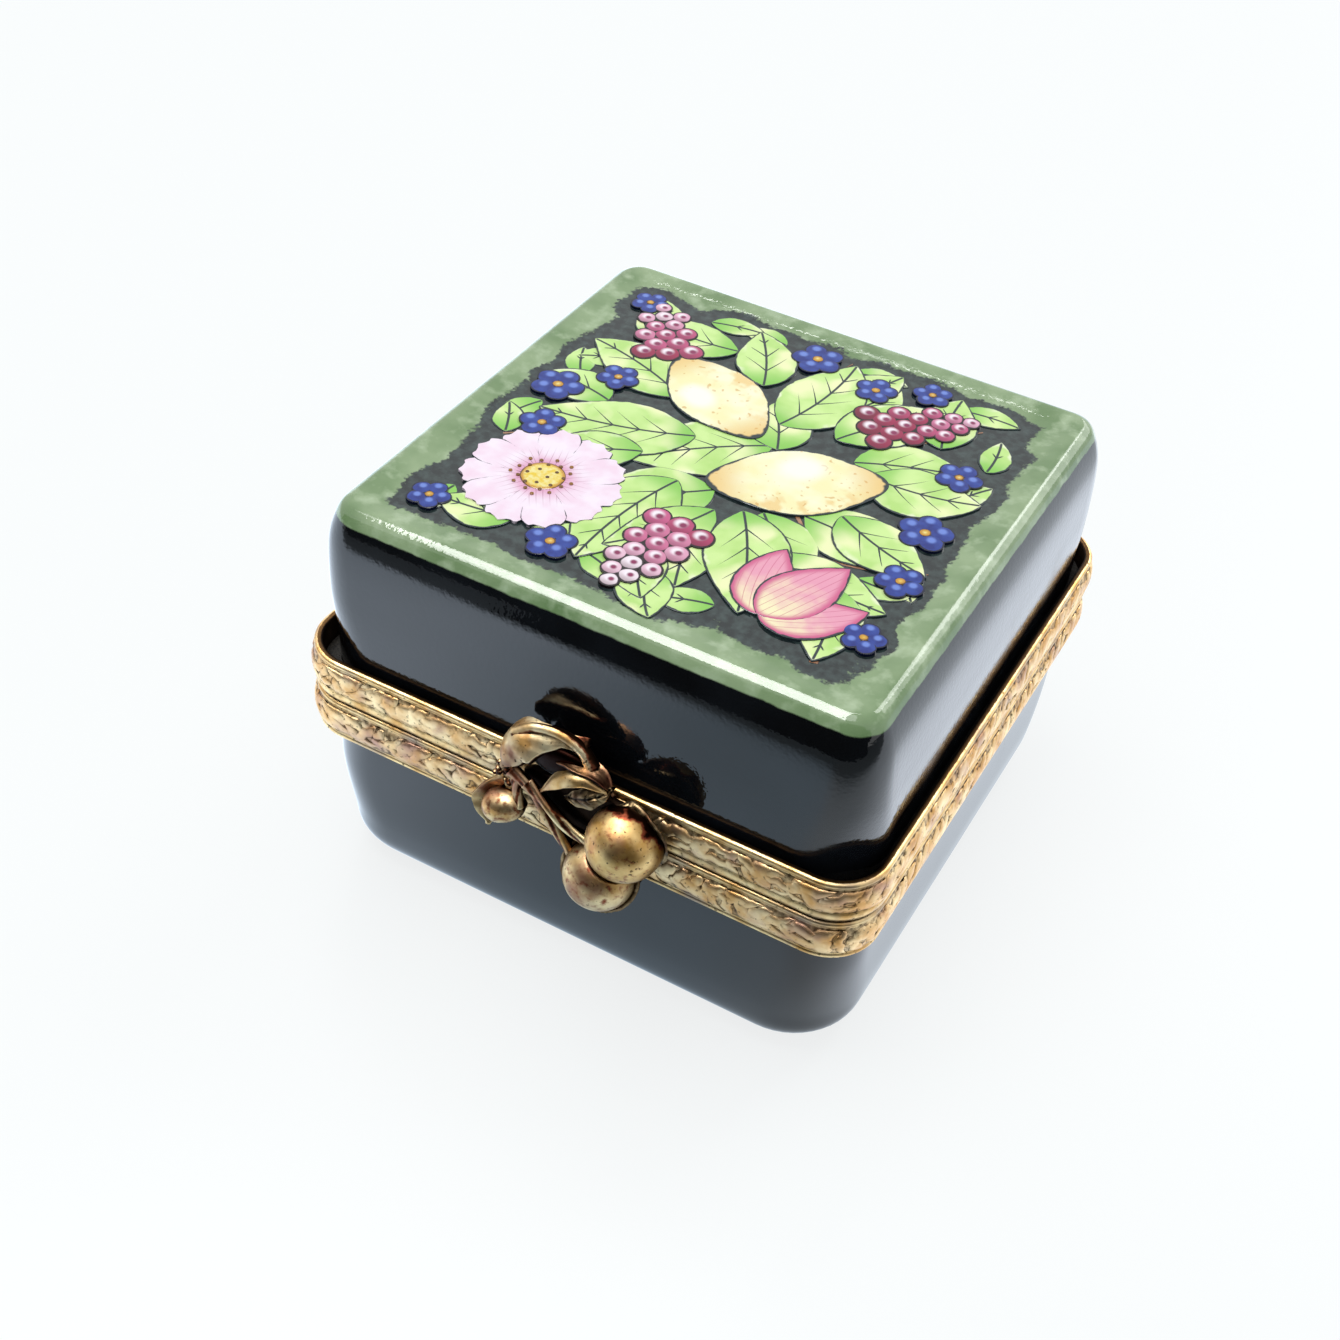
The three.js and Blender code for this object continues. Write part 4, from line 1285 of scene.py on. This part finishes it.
def laid_leaves(body, seed):
    """The mesh that the nodes make on a mount's curve. The curve and its modifier are then removed."""
    path = rim_curve(body)
    layer = path.modifiers.new("chasing", "NODES")
    layer.node_group = chasing
    values = {**CHASING_FORM, "Leaves": chased_patterns, "Seed": seed, "Brass": gilt_brass}
    for name, value in values.items():
        layer[SOCKETS[name]] = value
    bpy.context.view_layer.update()
    graph = bpy.context.evaluated_depsgraph_get()
    laid = path.evaluated_get(graph)
    mesh = bpy.data.meshes.new_from_object(laid, preserve_all_data_layers=True, depsgraph=graph)
    bpy.data.objects.remove(path)
    return mesh


def seated(points, lift, body):
    """Points kept on the field, and moved out or in to its surface plus their lift."""
    face, way = MOUNT_FACE[body], MOUNT_WAY[body]
    z = face + way * np.clip(np.abs(points[:, 2] - face), FIELD_STARTS[body] - 0.04, FIELD_ENDS + 0.04)
    core = np.clip(points[:, :2], -MOUNT_CORE, MOUNT_CORE)
    out = points[:, :2] - core
    out /= np.maximum(np.linalg.norm(out, axis=1, keepdims=True), 1e-6)
    reach = field_half(np.abs(z - face)) - MOUNT_CORE + lift
    return np.concatenate([core + out * reach[:, None], z[:, None]], axis=1)


def make_chasing(body, seed):
    made = laid_leaves(body, seed)
    points = np.zeros(len(made.vertices) * 3, np.float32)
    made.vertices.foreach_get("co", points)
    points = points.reshape(-1, 3).astype(float) / MM
    lift = np.zeros(len(made.vertices), np.float32)
    made.attributes["lift"].data.foreach_get("value", lift)
    faces = [tuple(face.vertices) for face in made.polygons]
    relief = 0.22 + 0.9 * np.clip(lift / LEAF_TOP, 0, 1)
    points = seated(points, lift.astype(float), body)
    make_piece(
        f"{body}_mount_leaves", body, points, faces, [gilt_brass],
        carries={"relief": relief}, stands_for=[f"{body}_band"],
    )


make_chasing("base", 3)
make_chasing("lid", 41)

# %% [markdown]
# The hinge at the back is five knuckles on a pin, which the photograph doesn't show. They, the
# catch plate and the stud keep their CAD shapes. A copy of each is merged, and its hard edges are
# rounded a little, because filed brass has no razor edges and a round edge catches the light.

# %% Hinge, catch plate and stud
MERGE_DISTANCE = 0.002
FLAT_ANGLE = math.radians(0.5)
HARD_ANGLE = math.radians(28)


def softened(node, body, radius, material):
    """A copy of a CAD solid with merged vertices and rounded edges, which stands for the node."""
    work = bmesh.new()
    work.from_mesh(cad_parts[node].data)
    bmesh.ops.remove_doubles(work, verts=work.verts, dist=MERGE_DISTANCE * MM)
    bmesh.ops.dissolve_limit(work, angle_limit=FLAT_ANGLE, verts=work.verts, edges=work.edges)
    hard = [edge for edge in work.edges if edge.is_manifold and edge.calc_face_angle(0) > HARD_ANGLE]
    bmesh.ops.bevel(
        work, geom=hard, offset=radius * MM, segments=2, profile=0.5, affect="EDGES", clamp_overlap=True
    )
    work.verts.index_update()
    points = [tuple(vertex.co / MM) for vertex in work.verts]
    faces = [tuple(vertex.index for vertex in face.verts) for face in work.faces]
    work.free()
    make_piece(f"{node}_filed", body, points, faces, [material], stands_for=[node], sharp=35)


for number in (1, 2, 3):
    softened(f"base_knuckle_{number}", "base", 0.07, plain_brass)
for number in (1, 2):
    softened(f"lid_knuckle_{number}", "lid", 0.07, plain_brass)
softened("hinge_pin", "base", 0.05, plain_brass)
softened("catch_stud", "base", 0.03, rim_brass)
# The tongue behind the sprig takes near-black brass as painted shade.
softened("clasp_tongue", "lid", 0.06, painted_shade_brass)

# %% [markdown]
# The sprig on the catch plate was cast in brass, chased and darkened. Its points are written as x
# along the front, out from the plate's face, and up from the parting line, as in the CAD. What
# would lie behind the plate's face is pressed flat against it, below the plate's top.

# %% The sprig's own measures
PLATE_FRONT = -25.3
PARTING = 17.9
BACK_FLAT = PLATE_FRONT - 0.06
PLATE_TOP = 22.0
LARGE_BERRY = (6.45, 0.6, 1.4)
LARGE_RADIUS = 2.9
LOW_BERRY = (4.6, 0.6, -2.9)
LOW_RADIUS = 2.75
BUD = (-4.0, 0.6, -0.6)
BUD_RADIUS = 1.36
BUD_STRETCH = 1.6
HUSK_GAP = 0.04
HUSK_WALL = 0.28
BACK_SLACK = 1.4


def sprig(point):
    """A point of the sprig in the box's own frame, in millimetres."""
    x, out, up = point
    return np.array([x, PLATE_FRONT - out, PARTING + up])


def pressed(points):
    """Press the back of a cast piece flat where the catch plate is behind it."""
    points = np.array(points, float)
    slack = np.clip((points[:, 2] - PLATE_TOP) / 0.5, 0, 1) * BACK_SLACK
    points[:, 1] = np.minimum(points[:, 1], BACK_FLAT + slack)
    return points


def uneven(points, size, depth, seed):
    """Numbers from smooth waves in space, for the small dents of a hand-finished casting."""
    draw = np.random.default_rng(seed)
    total = np.zeros(len(points))
    for _ in range(7):
        direction = draw.normal(size=3)
        direction *= 2 * math.pi / size / np.linalg.norm(direction)
        total += np.sin(np.asarray(points) @ direction + draw.uniform(0, 6.28))
    return total / 7 * depth


# %% [markdown]
# A berry is a polished ball, and a torn thin cup behind it is what is left of its husk. Its top and
# back are painted darker: painted shade on the back, which faces the plate, and a painted reflection
# of dark surroundings on the top. So the relief that drives the finish falls off towards one
# direction, behind and above the casting.

# %% Berries and husks
# The way in which painted shade and reflection darken the berries, the bud and the stems.
SHADED_WAY = np.array([0.1, 0.89, 0.45])
HUSK_SEED = 10
HUSK_RIM = 0.9


def ball_points(rows, columns):
    """Directions over a sphere from pole to pole, and the faces of a closed mesh on them."""
    directions = [(0.0, 0.0, -1.0)]
    for i in range(1, rows):
        polar = math.pi * i / rows
        for j in range(columns):
            turn = 2 * math.pi * j / columns
            x = math.sin(polar) * math.cos(turn)
            y = math.sin(polar) * math.sin(turn)
            directions.append((x, y, -math.cos(polar)))
    directions.append((0.0, 0.0, 1.0))
    faces = [(0, 1 + (j + 1) % columns, 1 + j) for j in range(columns)]
    for i in range(rows - 2):
        for j in range(columns):
            a = 1 + i * columns + j
            b = 1 + i * columns + (j + 1) % columns
            faces.append((a, b, b + columns, a + columns))
    last = 1 + (rows - 2) * columns
    faces += [(last + j, last + (j + 1) % columns, len(directions) - 1) for j in range(columns)]
    return np.array(directions), faces


def turned_to(directions, axis):
    """Directions whose own Z axis is turned to this axis."""
    turn = Vector((0, 0, 1)).rotation_difference(Vector(axis).normalized()).to_matrix()
    return directions @ np.array(turn).T


def make_ball(name, node, points, directions, faces, finish, aged):
    """A rounded casting with painted shade and reflection on its top and back. Aged takes off some
    brightness.
    """
    toward_shade = directions @ SHADED_WAY + uneven(directions, 0.5, 0.3, 4)
    relief = 0.62 - 0.9 * np.clip((toward_shade - 0.24) / 0.3, 0, 1) - aged
    make_piece(
        name, "lid", pressed(points), faces, [finish],
        carries={"relief": relief}, stands_for=[node],
    )


def make_berry(name, node, centre, radius, finish, aged, seed, dent=None):
    """A polished ball with slight dents. Another ball's room may press into it."""
    directions, faces = ball_points(44, 64)
    points = sprig(centre) + directions * radius
    points += directions * uneven(points, 2.6, 0.035, seed)[:, None]
    if dent:
        other, room = sprig(dent[0]), dent[1]
        aside = points - other
        reach = np.linalg.norm(aside, axis=1, keepdims=True)
        points = np.where(reach < room, other + aside / reach * room, points)
    make_ball(name, node, points, directions, faces, finish, aged)


def make_husk(name, node, centre, radius, axis, offset, ragged):
    """A thin cup behind a berry, whose rim is torn and pitted."""
    rows, columns = 12, 96
    draw = np.random.default_rng(HUSK_SEED)
    inner = radius + HUSK_GAP
    outer = inner + HUSK_WALL
    tears = np.convolve(draw.uniform(-1, 1, columns * 2), np.ones(3) / 3, "same")[:columns]
    open_angle = math.acos(offset / outer) + ragged * tears
    turns = np.linspace(0, 2 * math.pi, columns, endpoint=False)
    rings, relief = [], []
    layers = [(inner, k / rows) for k in range(1, rows + 1)]
    layers += [(outer, k / rows) for k in range(rows, 0, -1)]
    for reach, share in layers:
        angles = open_angle * share
        rim = float(share > HUSK_RIM)
        local = np.stack([np.sin(angles) * np.cos(turns), np.sin(angles) * np.sin(turns), np.cos(angles)], 1)
        place = sprig(centre) + turned_to(local, axis) * (reach + 0.05 * rim * tears)[:, None]
        rings.append([tuple(point) for point in place])
        relief += (0.12 + rim * (0.43 + 0.45 * tears)).tolist()
    points, faces = loft(rings)
    points = pressed(points)
    points = points + uneven(points, 0.7, 0.05, 5)[:, None] * np.array([1, 0.3, 1])
    make_piece(
        name, "lid", points, faces, [patinated_brass],
        carries={"relief": relief + [0.1, 0.1]}, stands_for=[node],
    )


large_room = (LARGE_BERRY, LARGE_RADIUS + HUSK_WALL + 0.1)
make_berry("large_berry", "clasp_large_berry", LARGE_BERRY, LARGE_RADIUS, polished_brass, 0.06, 17)
make_berry("lower_berry", "clasp_low_berry", LOW_BERRY, LOW_RADIUS, satin_brass, 0.09, 15, large_room)
make_husk("large_husk", "large_berry_husk", LARGE_BERRY, LARGE_RADIUS, (0.35, 0.85, 0.25), 1.7, 0.09)
make_husk("lower_husk", "low_berry_husk", LOW_BERRY, LOW_RADIUS, (-0.1, 0.9, -0.3), -0.2, 0.02)

# %% [markdown]
# The leaves are cast blades along a bent spine: arched across, with a turned edge, and with veins that
# a chaser cut afterwards. Big and small waves in space leave them lumpy, as a small sand casting is.

# %% Blades of the leaves
LUMPS = 0.16
VEIN_STEP = 0.85
VEIN_HALF = 0.16
RIM_WAVES = 21


def spine_points(path, rows):
    """Even points on the curve through a path of the sprig, and the direction ahead at each."""
    line = smooth_through([sprig(point) for point in path], rows)
    ahead = np.gradient(line, axis=0)
    return line, ahead / np.linalg.norm(ahead, axis=1, keepdims=True)


def blade(
    spine, crown, width, arch, thick, seed, lean=1.0, blunt=0.15, away=None, veins=0.05, frill=0.04,
    back=-0.3, tip=0.0,
):
    """A chased leaf as the CAD shapes it, with veins cut in its back and a frilled edge.

    Its back faces the way that crown says, or away from a point. Tip is the tarnish where it starts."""
    rows, columns = 44, 23
    line, ahead = spine_points(spine, rows)
    length = np.linalg.norm(np.diff(line, axis=0), axis=1).sum()
    rings, relief = [], []
    for i, centre in enumerate(line):
        t = i / (rows - 1)
        face = centre - sprig(away) if away else np.array(crown, float)
        face = face - ahead[i] * (face @ ahead[i])
        face /= np.linalg.norm(face)
        over = np.cross(ahead[i], face)
        share = max(math.sin(math.pi * t**lean), blunt * (1 - t), 0.15)
        share *= 1 + frill * math.sin(t * RIM_WAVES + seed)
        outer, inner = [], []
        for k in range(columns):
            s = math.sin((k / (columns - 1) - 0.5) * math.pi)
            phase = (t * length - abs(s) * width * share * 0.9) / VEIN_STEP % 1.0
            side_vein = max(0.0, 1 - abs(phase - 0.5) / VEIN_HALF) * min(1.0, abs(s) * 4) * (1 - abs(s) ** 3)
            rib = max(0.0, 1 - abs(s) * width * share / VEIN_HALF)
            cut = veins * (1.2 * rib + side_vein)
            rise = arch * (1 - s * s) * share - cut + 0.10 * abs(s) ** 6
            place = centre + over * s * width * share + face * rise
            outer.append(place)
            inner.insert(0, place - face * (thick * (1 - 0.35 * s * s)))
            lined = min(1.0, veins / 0.05) * min(1.0, 1.2 * rib + 0.8 * side_vein)
            tarnish = tip * max(0.0, 1 - t / 0.22)
            relief.append(0.66 - 0.56 * lined + 0.2 * abs(s) ** 4 - tarnish)
        rings.append([tuple(point) for point in outer + inner])
        # The inner side, away from the crown, takes the relief back: at its default of -0.3 it is painted
        # shade where it faces the plate.
        relief += [back] * columns
    points, faces = loft(rings)
    points = np.array(points)
    lumpy = uneven(points, 1.9, LUMPS, seed) + uneven(points, 0.8, LUMPS / 3, seed + 1)
    points += lumpy[:, None] * np.array([0.2, -0.8, 0.5])
    return pressed(points), faces, {"relief": relief + [0.1, 0.1]}


def stem(path, radius, ridges=3, twist=1.6):
    """A ridged, twisted wire that swells at both ends and has painted shade at its back."""
    rows, columns = 60, 18
    line, ahead = spine_points(path, rows)
    side = np.cross(ahead, np.array([0.0, 1.0, 0.0]))
    side /= np.linalg.norm(side, axis=1, keepdims=True)
    lift = np.cross(side, ahead)
    rings, relief = [], []
    for i, centre in enumerate(line):
        t = i / (rows - 1)
        swell = 1 + 0.25 * (2 * t - 1) ** 4
        ring = []
        for k in range(columns):
            angle = -2 * math.pi * k / columns
            ridge = math.cos(ridges * angle + twist * 2 * math.pi * t)
            reach = radius * swell * (1 + 0.14 * ridge)
            outward = math.cos(angle) * side[i] + math.sin(angle) * lift[i]
            ring.append(tuple(centre + reach * outward))
            into_shade = float(np.clip((outward @ SHADED_WAY - 0.2) / 0.3, 0, 1))
            relief.append(0.55 + 0.4 * ridge - 0.9 * into_shade)
        rings.append(ring)
    points, faces = loft(rings)
    return pressed(points), faces, {"relief": relief + [0.5, 0.5]}


def lump(centre, radii, relief, seed):
    """A rough rounded lump of brass, with its own radii along the box's three axes."""
    directions, faces = ball_points(16, 24)
    points = sprig(centre) + directions * np.array(radii)
    points += directions * uneven(points, 1.2, 0.12, seed)[:, None]
    return pressed(points), faces, {"relief": [relief] * len(points)}


def make_sprig_piece(name, node, parts, material):
    points, faces, carries = joined(parts)
    make_piece(name, "lid", points, faces, [material], carries=carries, stands_for=[node])


# %% The leaves
upper_leaf = blade(
    [(2.3, -0.9, 7.2), (0.1, -0.5, 7.2), (-2.6, 0.1, 6.0), (-3.7, 0.9, 3.7)],
    (-0.3, -0.6, 0.7), 1.65, 0.95, 0.8, 2, lean=1.6, blunt=0.4, veins=0.0, frill=0.07, tip=0.7,
)
rolled_rim = stem(
    [(-3.0, 0.2, 6.6), (-1.6, -0.1, 7.7), (0.4, -0.4, 7.9), (2.2, -0.5, 7.1), (3.0, -0.4, 6.0)], 0.42, 2, 0.7
)
hood = blade(
    [(-0.3, -0.1, 5.0), (0.6, -0.1, 5.9), (1.9, -0.1, 6.2), (3.9, -0.1, 5.9), (5.0, 0.0, 4.6)],
    None, 0.9, 0.0, 0.38, 4, away=(2.0, -0.1, 3.6), veins=0.015,
)
# A dark lump fills the curl under the hood: painted shade, given the lowest relief.
hollow = lump((0.5, -0.2, 5.4), (2.8, 0.6, 1.4), -0.3, 3)
roll = blade(
    [(1.3, 0.5, 3.0), (2.9, 0.6, 3.8), (4.4, 0.4, 4.8), (4.8, 0.2, 5.4)],
    (-0.2, -0.9, 0.2), 0.8, 0.4, 0.7, 3, veins=0.12, frill=0.08,
)
lip = blade(
    [(4.7, 0.3, 4.9), (2.8, 0.6, 5.6), (1.2, 0.8, 4.9), (-0.4, 0.9, 3.0)],
    (0.1, -0.5, 0.85), 0.7, 0.3, 0.38, 6, veins=0.0,
)
bract = blade(
    [(-4.2, -0.1, 2.3), (-4.8, 0.2, -0.3), (-4.9, 0.8, -2.8)],
    (-0.45, 0.75, -0.1), 1.5, 0.5, 0.38, 8, lean=1.4, veins=0.0, back=0.6,
)
make_sprig_piece("upper_leaf", "clasp_upper_leaf", [upper_leaf, rolled_rim], cream_brass)
make_sprig_piece("curled_leaf_hood", "clasp_curled_leaf", [hood, hollow], coppery_brass)
make_sprig_piece("curled_leaf_roll", "clasp_curled_leaf", [roll], patinated_brass)
make_sprig_piece("curled_leaf_lip", "clasp_curled_leaf", [lip], satin_brass)
make_sprig_piece("bract", "bud_bract", [bract], satin_brass)

# %% [markdown]
# The stems are twisted wires that carry the berries, soldered on where they meet. Crumbs of solder are
# left at that joint, and the bud beside it is a ball stretched to a blunt point.

# %% Stems, bud and crumbs of solder
STEM_RADIUS = 0.44
CRUMB_COUNT = 14


def crumb(place, radius, seed):
    """A small lump of solder."""
    directions, faces = ball_points(8, 10)
    points = sprig(place) + directions * radius
    points = points + directions * uneven(points, 0.6, radius * 0.45, seed)[:, None]
    return pressed(points), faces, {"relief": [0.1 + 0.3 * (z > 0.5) for _, _, z in directions]}


def scattered_crumbs(seed):
    draw = random.Random(seed)
    crumbs = []
    for number in range(CRUMB_COUNT):
        spot = (-4.0 + draw.uniform(-0.6, 1.1), draw.uniform(0.15, 0.5), 2.4 + draw.uniform(-0.7, 0.9))
        crumbs.append(crumb(spot, draw.uniform(0.14, 0.27), number))
    return crumbs


def make_bud():
    directions, faces = ball_points(32, 48)
    stretched = directions * BUD_RADIUS
    stretched[:, 2] *= np.where(stretched[:, 2] > 0, BUD_STRETCH, 1.0)
    points = sprig(BUD) + turned_to(stretched, (0.9, 0.05, 0.4))
    points += (points - sprig(BUD)) * uneven(points, 1.7, 0.03, 9)[:, None]
    make_ball("bud", "clasp_bud", points, directions, faces, antique_brass, 0.13)


long_stem = stem([(-3.0, 0.6, 3.6), (-1.6, 0.7, 2.9), (0.2, 0.7, 0.6), (2.1, 0.6, -2.0)], STEM_RADIUS)
stalk = stem([(-2.7, 0.6, 3.3), (-2.6, 0.6, 1.8), (-2.2, 0.6, 0.3)], STEM_RADIUS * 0.85)
short_stem = stem([(-1.6, 0.7, 3.1), (0.4, 0.9, 1.7), (2.0, 0.8, 0.5), (3.8, 0.7, -0.1)], STEM_RADIUS)
make_sprig_piece("long_stem", "clasp_long_stem", [long_stem, stalk, *scattered_crumbs(5)], antique_brass)
make_sprig_piece("short_stem", "clasp_short_stem", [short_stem], antique_brass)
make_bud()

# %% [markdown]
# Cement beds the porcelain in the mounts. It shows only as a line in the gap, where it is grainy and
# near-black: painted shade deep in the gap. Its CAD solids are right as they are, and only take a finish.

# %% Cement
cement = make_grainy("cement_painted_shade", 0.95, 0.25, 4.0, "#14110e", "#38322a", 0.05)
for node in ("base_bedding", "lid_bedding"):
    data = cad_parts[node].data
    data.materials.clear()
    data.materials.append(cement)

# %% [markdown]
# The stage is plain: a white table under two softboxes, with a pale room round it. The table shows
# white to the camera and to mirror-like surfaces, brighter at the left and beside the box, and it
# still keeps the box's shadow. Two black and two white cards, which only reflections see, give the
# glaze and the brass their dark and bright accents.

# %% Table
# Places on the table are in metres. Each window is where its glow starts, where it is full, and how
# strong it is. Unshaded has the line beyond which the near card's shade ends.
TABLE_SIZE = 0.42
TABLE_GLOW = 0.82
MIRRORED_GLOW = 0.8
SKY_GLOW = 1.16
SECOND_MIRROR_SHADE = 0.8
LEFT_WINDOW = (-0.002, -0.038, 1.3)
BESIDE_WINDOW = (0.021, 0.03, 1.15)
BEYOND_WINDOW = (0.034, 0.055, -0.65)
WINDOW_FRONT = (-0.04, -0.01)
UNSHADED = (-0.088, -0.062)
LEAST_GLOW = 0.08


def flat_sheet(name, corners, material):
    """A four-cornered sheet of the stage."""
    mesh = bpy.data.meshes.new(name)
    mesh.from_pydata(corners, [], [(0, 1, 2, 3)])
    mesh.materials.append(material)
    return new_object(name, mesh)


def mirror_rays(tree):
    """The light path's numbers, and 1 for what mirror-like surfaces see."""
    rays = add(tree, "ShaderNodeLightPath").outputs
    seen = computed(tree, "ADD", rays["Is Glossy Ray"], rays["Is Transmission Ray"])
    return rays, computed(tree, "MINIMUM", seen, 1.0)


def second_mirror(tree, rays):
    """How much of the glow is held back from a mirror that is seen in another."""
    second = computed(tree, "GREATER_THAN", rays["Glossy Depth"], 1.5)
    return computed(tree, "MULTIPLY", second, SECOND_MIRROR_SHADE)


def window(tree, along, start, full, strength):
    return computed(tree, "MULTIPLY", stepped(tree, along, start, full), strength)


def table_glow(tree):
    """What mirror-like surfaces see of the table: a sky, and brighter windows."""
    place = add(tree, "ShaderNodeTexCoord").outputs["Object"]
    x, y, _ = add(tree, "ShaderNodeSeparateXYZ", {0: place}).outputs
    right = computed(tree, "ADD", window(tree, x, *BESIDE_WINDOW), window(tree, x, *BEYOND_WINDOW))
    inward = stepped(tree, y, *WINDOW_FRONT)
    windows = computed(tree, "MULTIPLY_ADD", right, inward, window(tree, x, *LEFT_WINDOW))
    shade_line = computed(tree, "MULTIPLY_ADD", x, -0.5, y)
    light = computed(tree, "MULTIPLY_ADD", stepped(tree, shade_line, *UNSHADED), 1 - LEAST_GLOW, LEAST_GLOW)
    tint = mixed(tree, stepped(tree, x, 0.005, 0.026), "#d2eaff", "#e4edf6")
    sky = {"Color": tint, "Strength": computed(tree, "MULTIPLY", light, SKY_GLOW)}
    bright = {"Color": colour("#ebf1ff"), "Strength": computed(tree, "MULTIPLY", light, windows)}
    glows = [add(tree, "ShaderNodeEmission", sockets).outputs[0] for sockets in (sky, bright)]
    return add(tree, "ShaderNodeAddShader", dict(enumerate(glows))).outputs[0]


def make_table():
    material, tree, shader = start_material("white_table", Roughness=0.35)
    shader.inputs["Base Color"].default_value = colour("#eaf4f4")
    rays, mirrored = mirror_rays(tree)
    mirror_glow = add(tree, "ShaderNodeMixShader", {0: second_mirror(tree, rays), 1: table_glow(tree)})
    camera_glow = add(tree, "ShaderNodeEmission", {"Color": colour("#fdfefe"), "Strength": 1.0})
    glows = {0: mirrored, 1: camera_glow.outputs[0], 2: mirror_glow.outputs[0]}
    glow = add(tree, "ShaderNodeMixShader", glows)
    share = computed(tree, "MULTIPLY", rays["Is Camera Ray"], TABLE_GLOW)
    share = computed(tree, "MULTIPLY_ADD", mirrored, MIRRORED_GLOW, share)
    both = add(tree, "ShaderNodeMixShader", {0: share, 1: shader.outputs[0], 2: glow.outputs[0]})
    tree.links.new(both.outputs[0], tree.nodes["Material Output"].inputs["Surface"])
    corners = [(x * TABLE_SIZE, y * TABLE_SIZE, -0.00002) for x, y in ((-1, -1), (1, -1), (1, 1), (-1, 1))]
    table = flat_sheet("table", corners, material)


make_table()

# %% Room and cards


def make_room():
    world = bpy.data.worlds.new("room")
    bpy.context.scene.world = world
    world.use_nodes = True
    tree = world.node_tree
    tree.nodes.clear()
    rays, mirrored = mirror_rays(tree)
    seen = computed(tree, "MINIMUM", computed(tree, "ADD", rays["Is Camera Ray"], mirrored), 1.0)
    tint = mixed(tree, seen, "#b9bfc4", "#fdfefe")
    strength = computed(tree, "SUBTRACT", 1.0, second_mirror(tree, rays))
    light = add(tree, "ShaderNodeBackground", {"Color": tint, "Strength": strength})
    add(tree, "ShaderNodeOutputWorld", {"Surface": light.outputs[0]})


def make_card(name, corners, glow=0.0):
    """A paper card that only mirror-like surfaces see. With a glow it is white, otherwise black."""
    material, _, shader = start_material(f"{name}_paper", Roughness=0.9)
    shader.inputs["Base Color"].default_value = colour("#060606")
    shader.inputs["Emission Color"].default_value = colour("#ffffff")
    shader.inputs["Emission Strength"].default_value = glow
    card = flat_sheet(name, corners, material)
    card.visible_camera = False
    card.visible_diffuse = False
    card.visible_shadow = False
    card.visible_transmission = False


make_room()
make_card("far_black_card", [(-1.2, -0.43, 0.0), (1.2, -0.43, 0.0), (1.2, -0.5, 0.42), (-1.2, -0.5, 0.42)])
make_card(
    "near_black_card", [(-0.05, -0.113, 0.0), (0.15, -0.09, 0.0), (0.15, -0.12, 0.17), (-0.03, -0.14, 0.17)]
)
make_card(
    "lip_white_card", [(-0.34, -0.34, 0.62), (-0.1, -0.34, 0.62), (-0.1, 0.4, 0.62), (-0.34, 0.4, 0.62)], 11.0
)
make_card(
    "crest_white_card", [(-0.04, 0.75, 0.25), (0.6, 0.75, 0.25), (0.6, 0.75, 0.72), (-0.04, 0.75, 0.72)], 3.2
)

# %% Softboxes


def make_softbox(name, place, target, size, power):
    data = bpy.data.lights.new(name, "AREA")
    data.shape = "RECTANGLE"
    data.size, data.size_y = size
    data.energy = power
    lamp = new_object(name, data)
    lamp.location = place
    lamp.rotation_mode = "QUATERNION"
    lamp.rotation_quaternion = (Vector(target) - Vector(place)).to_track_quat("-Z", "Y")


make_softbox("overhead_softbox", (-0.13, -0.05, 0.6), (0, 0, 0.02), (0.42, 0.36), 1.5)
make_softbox("back_softbox", (0.16, 0.53, 0.56), (0, 0, 0.02), (0.3, 0.3), 1.4)
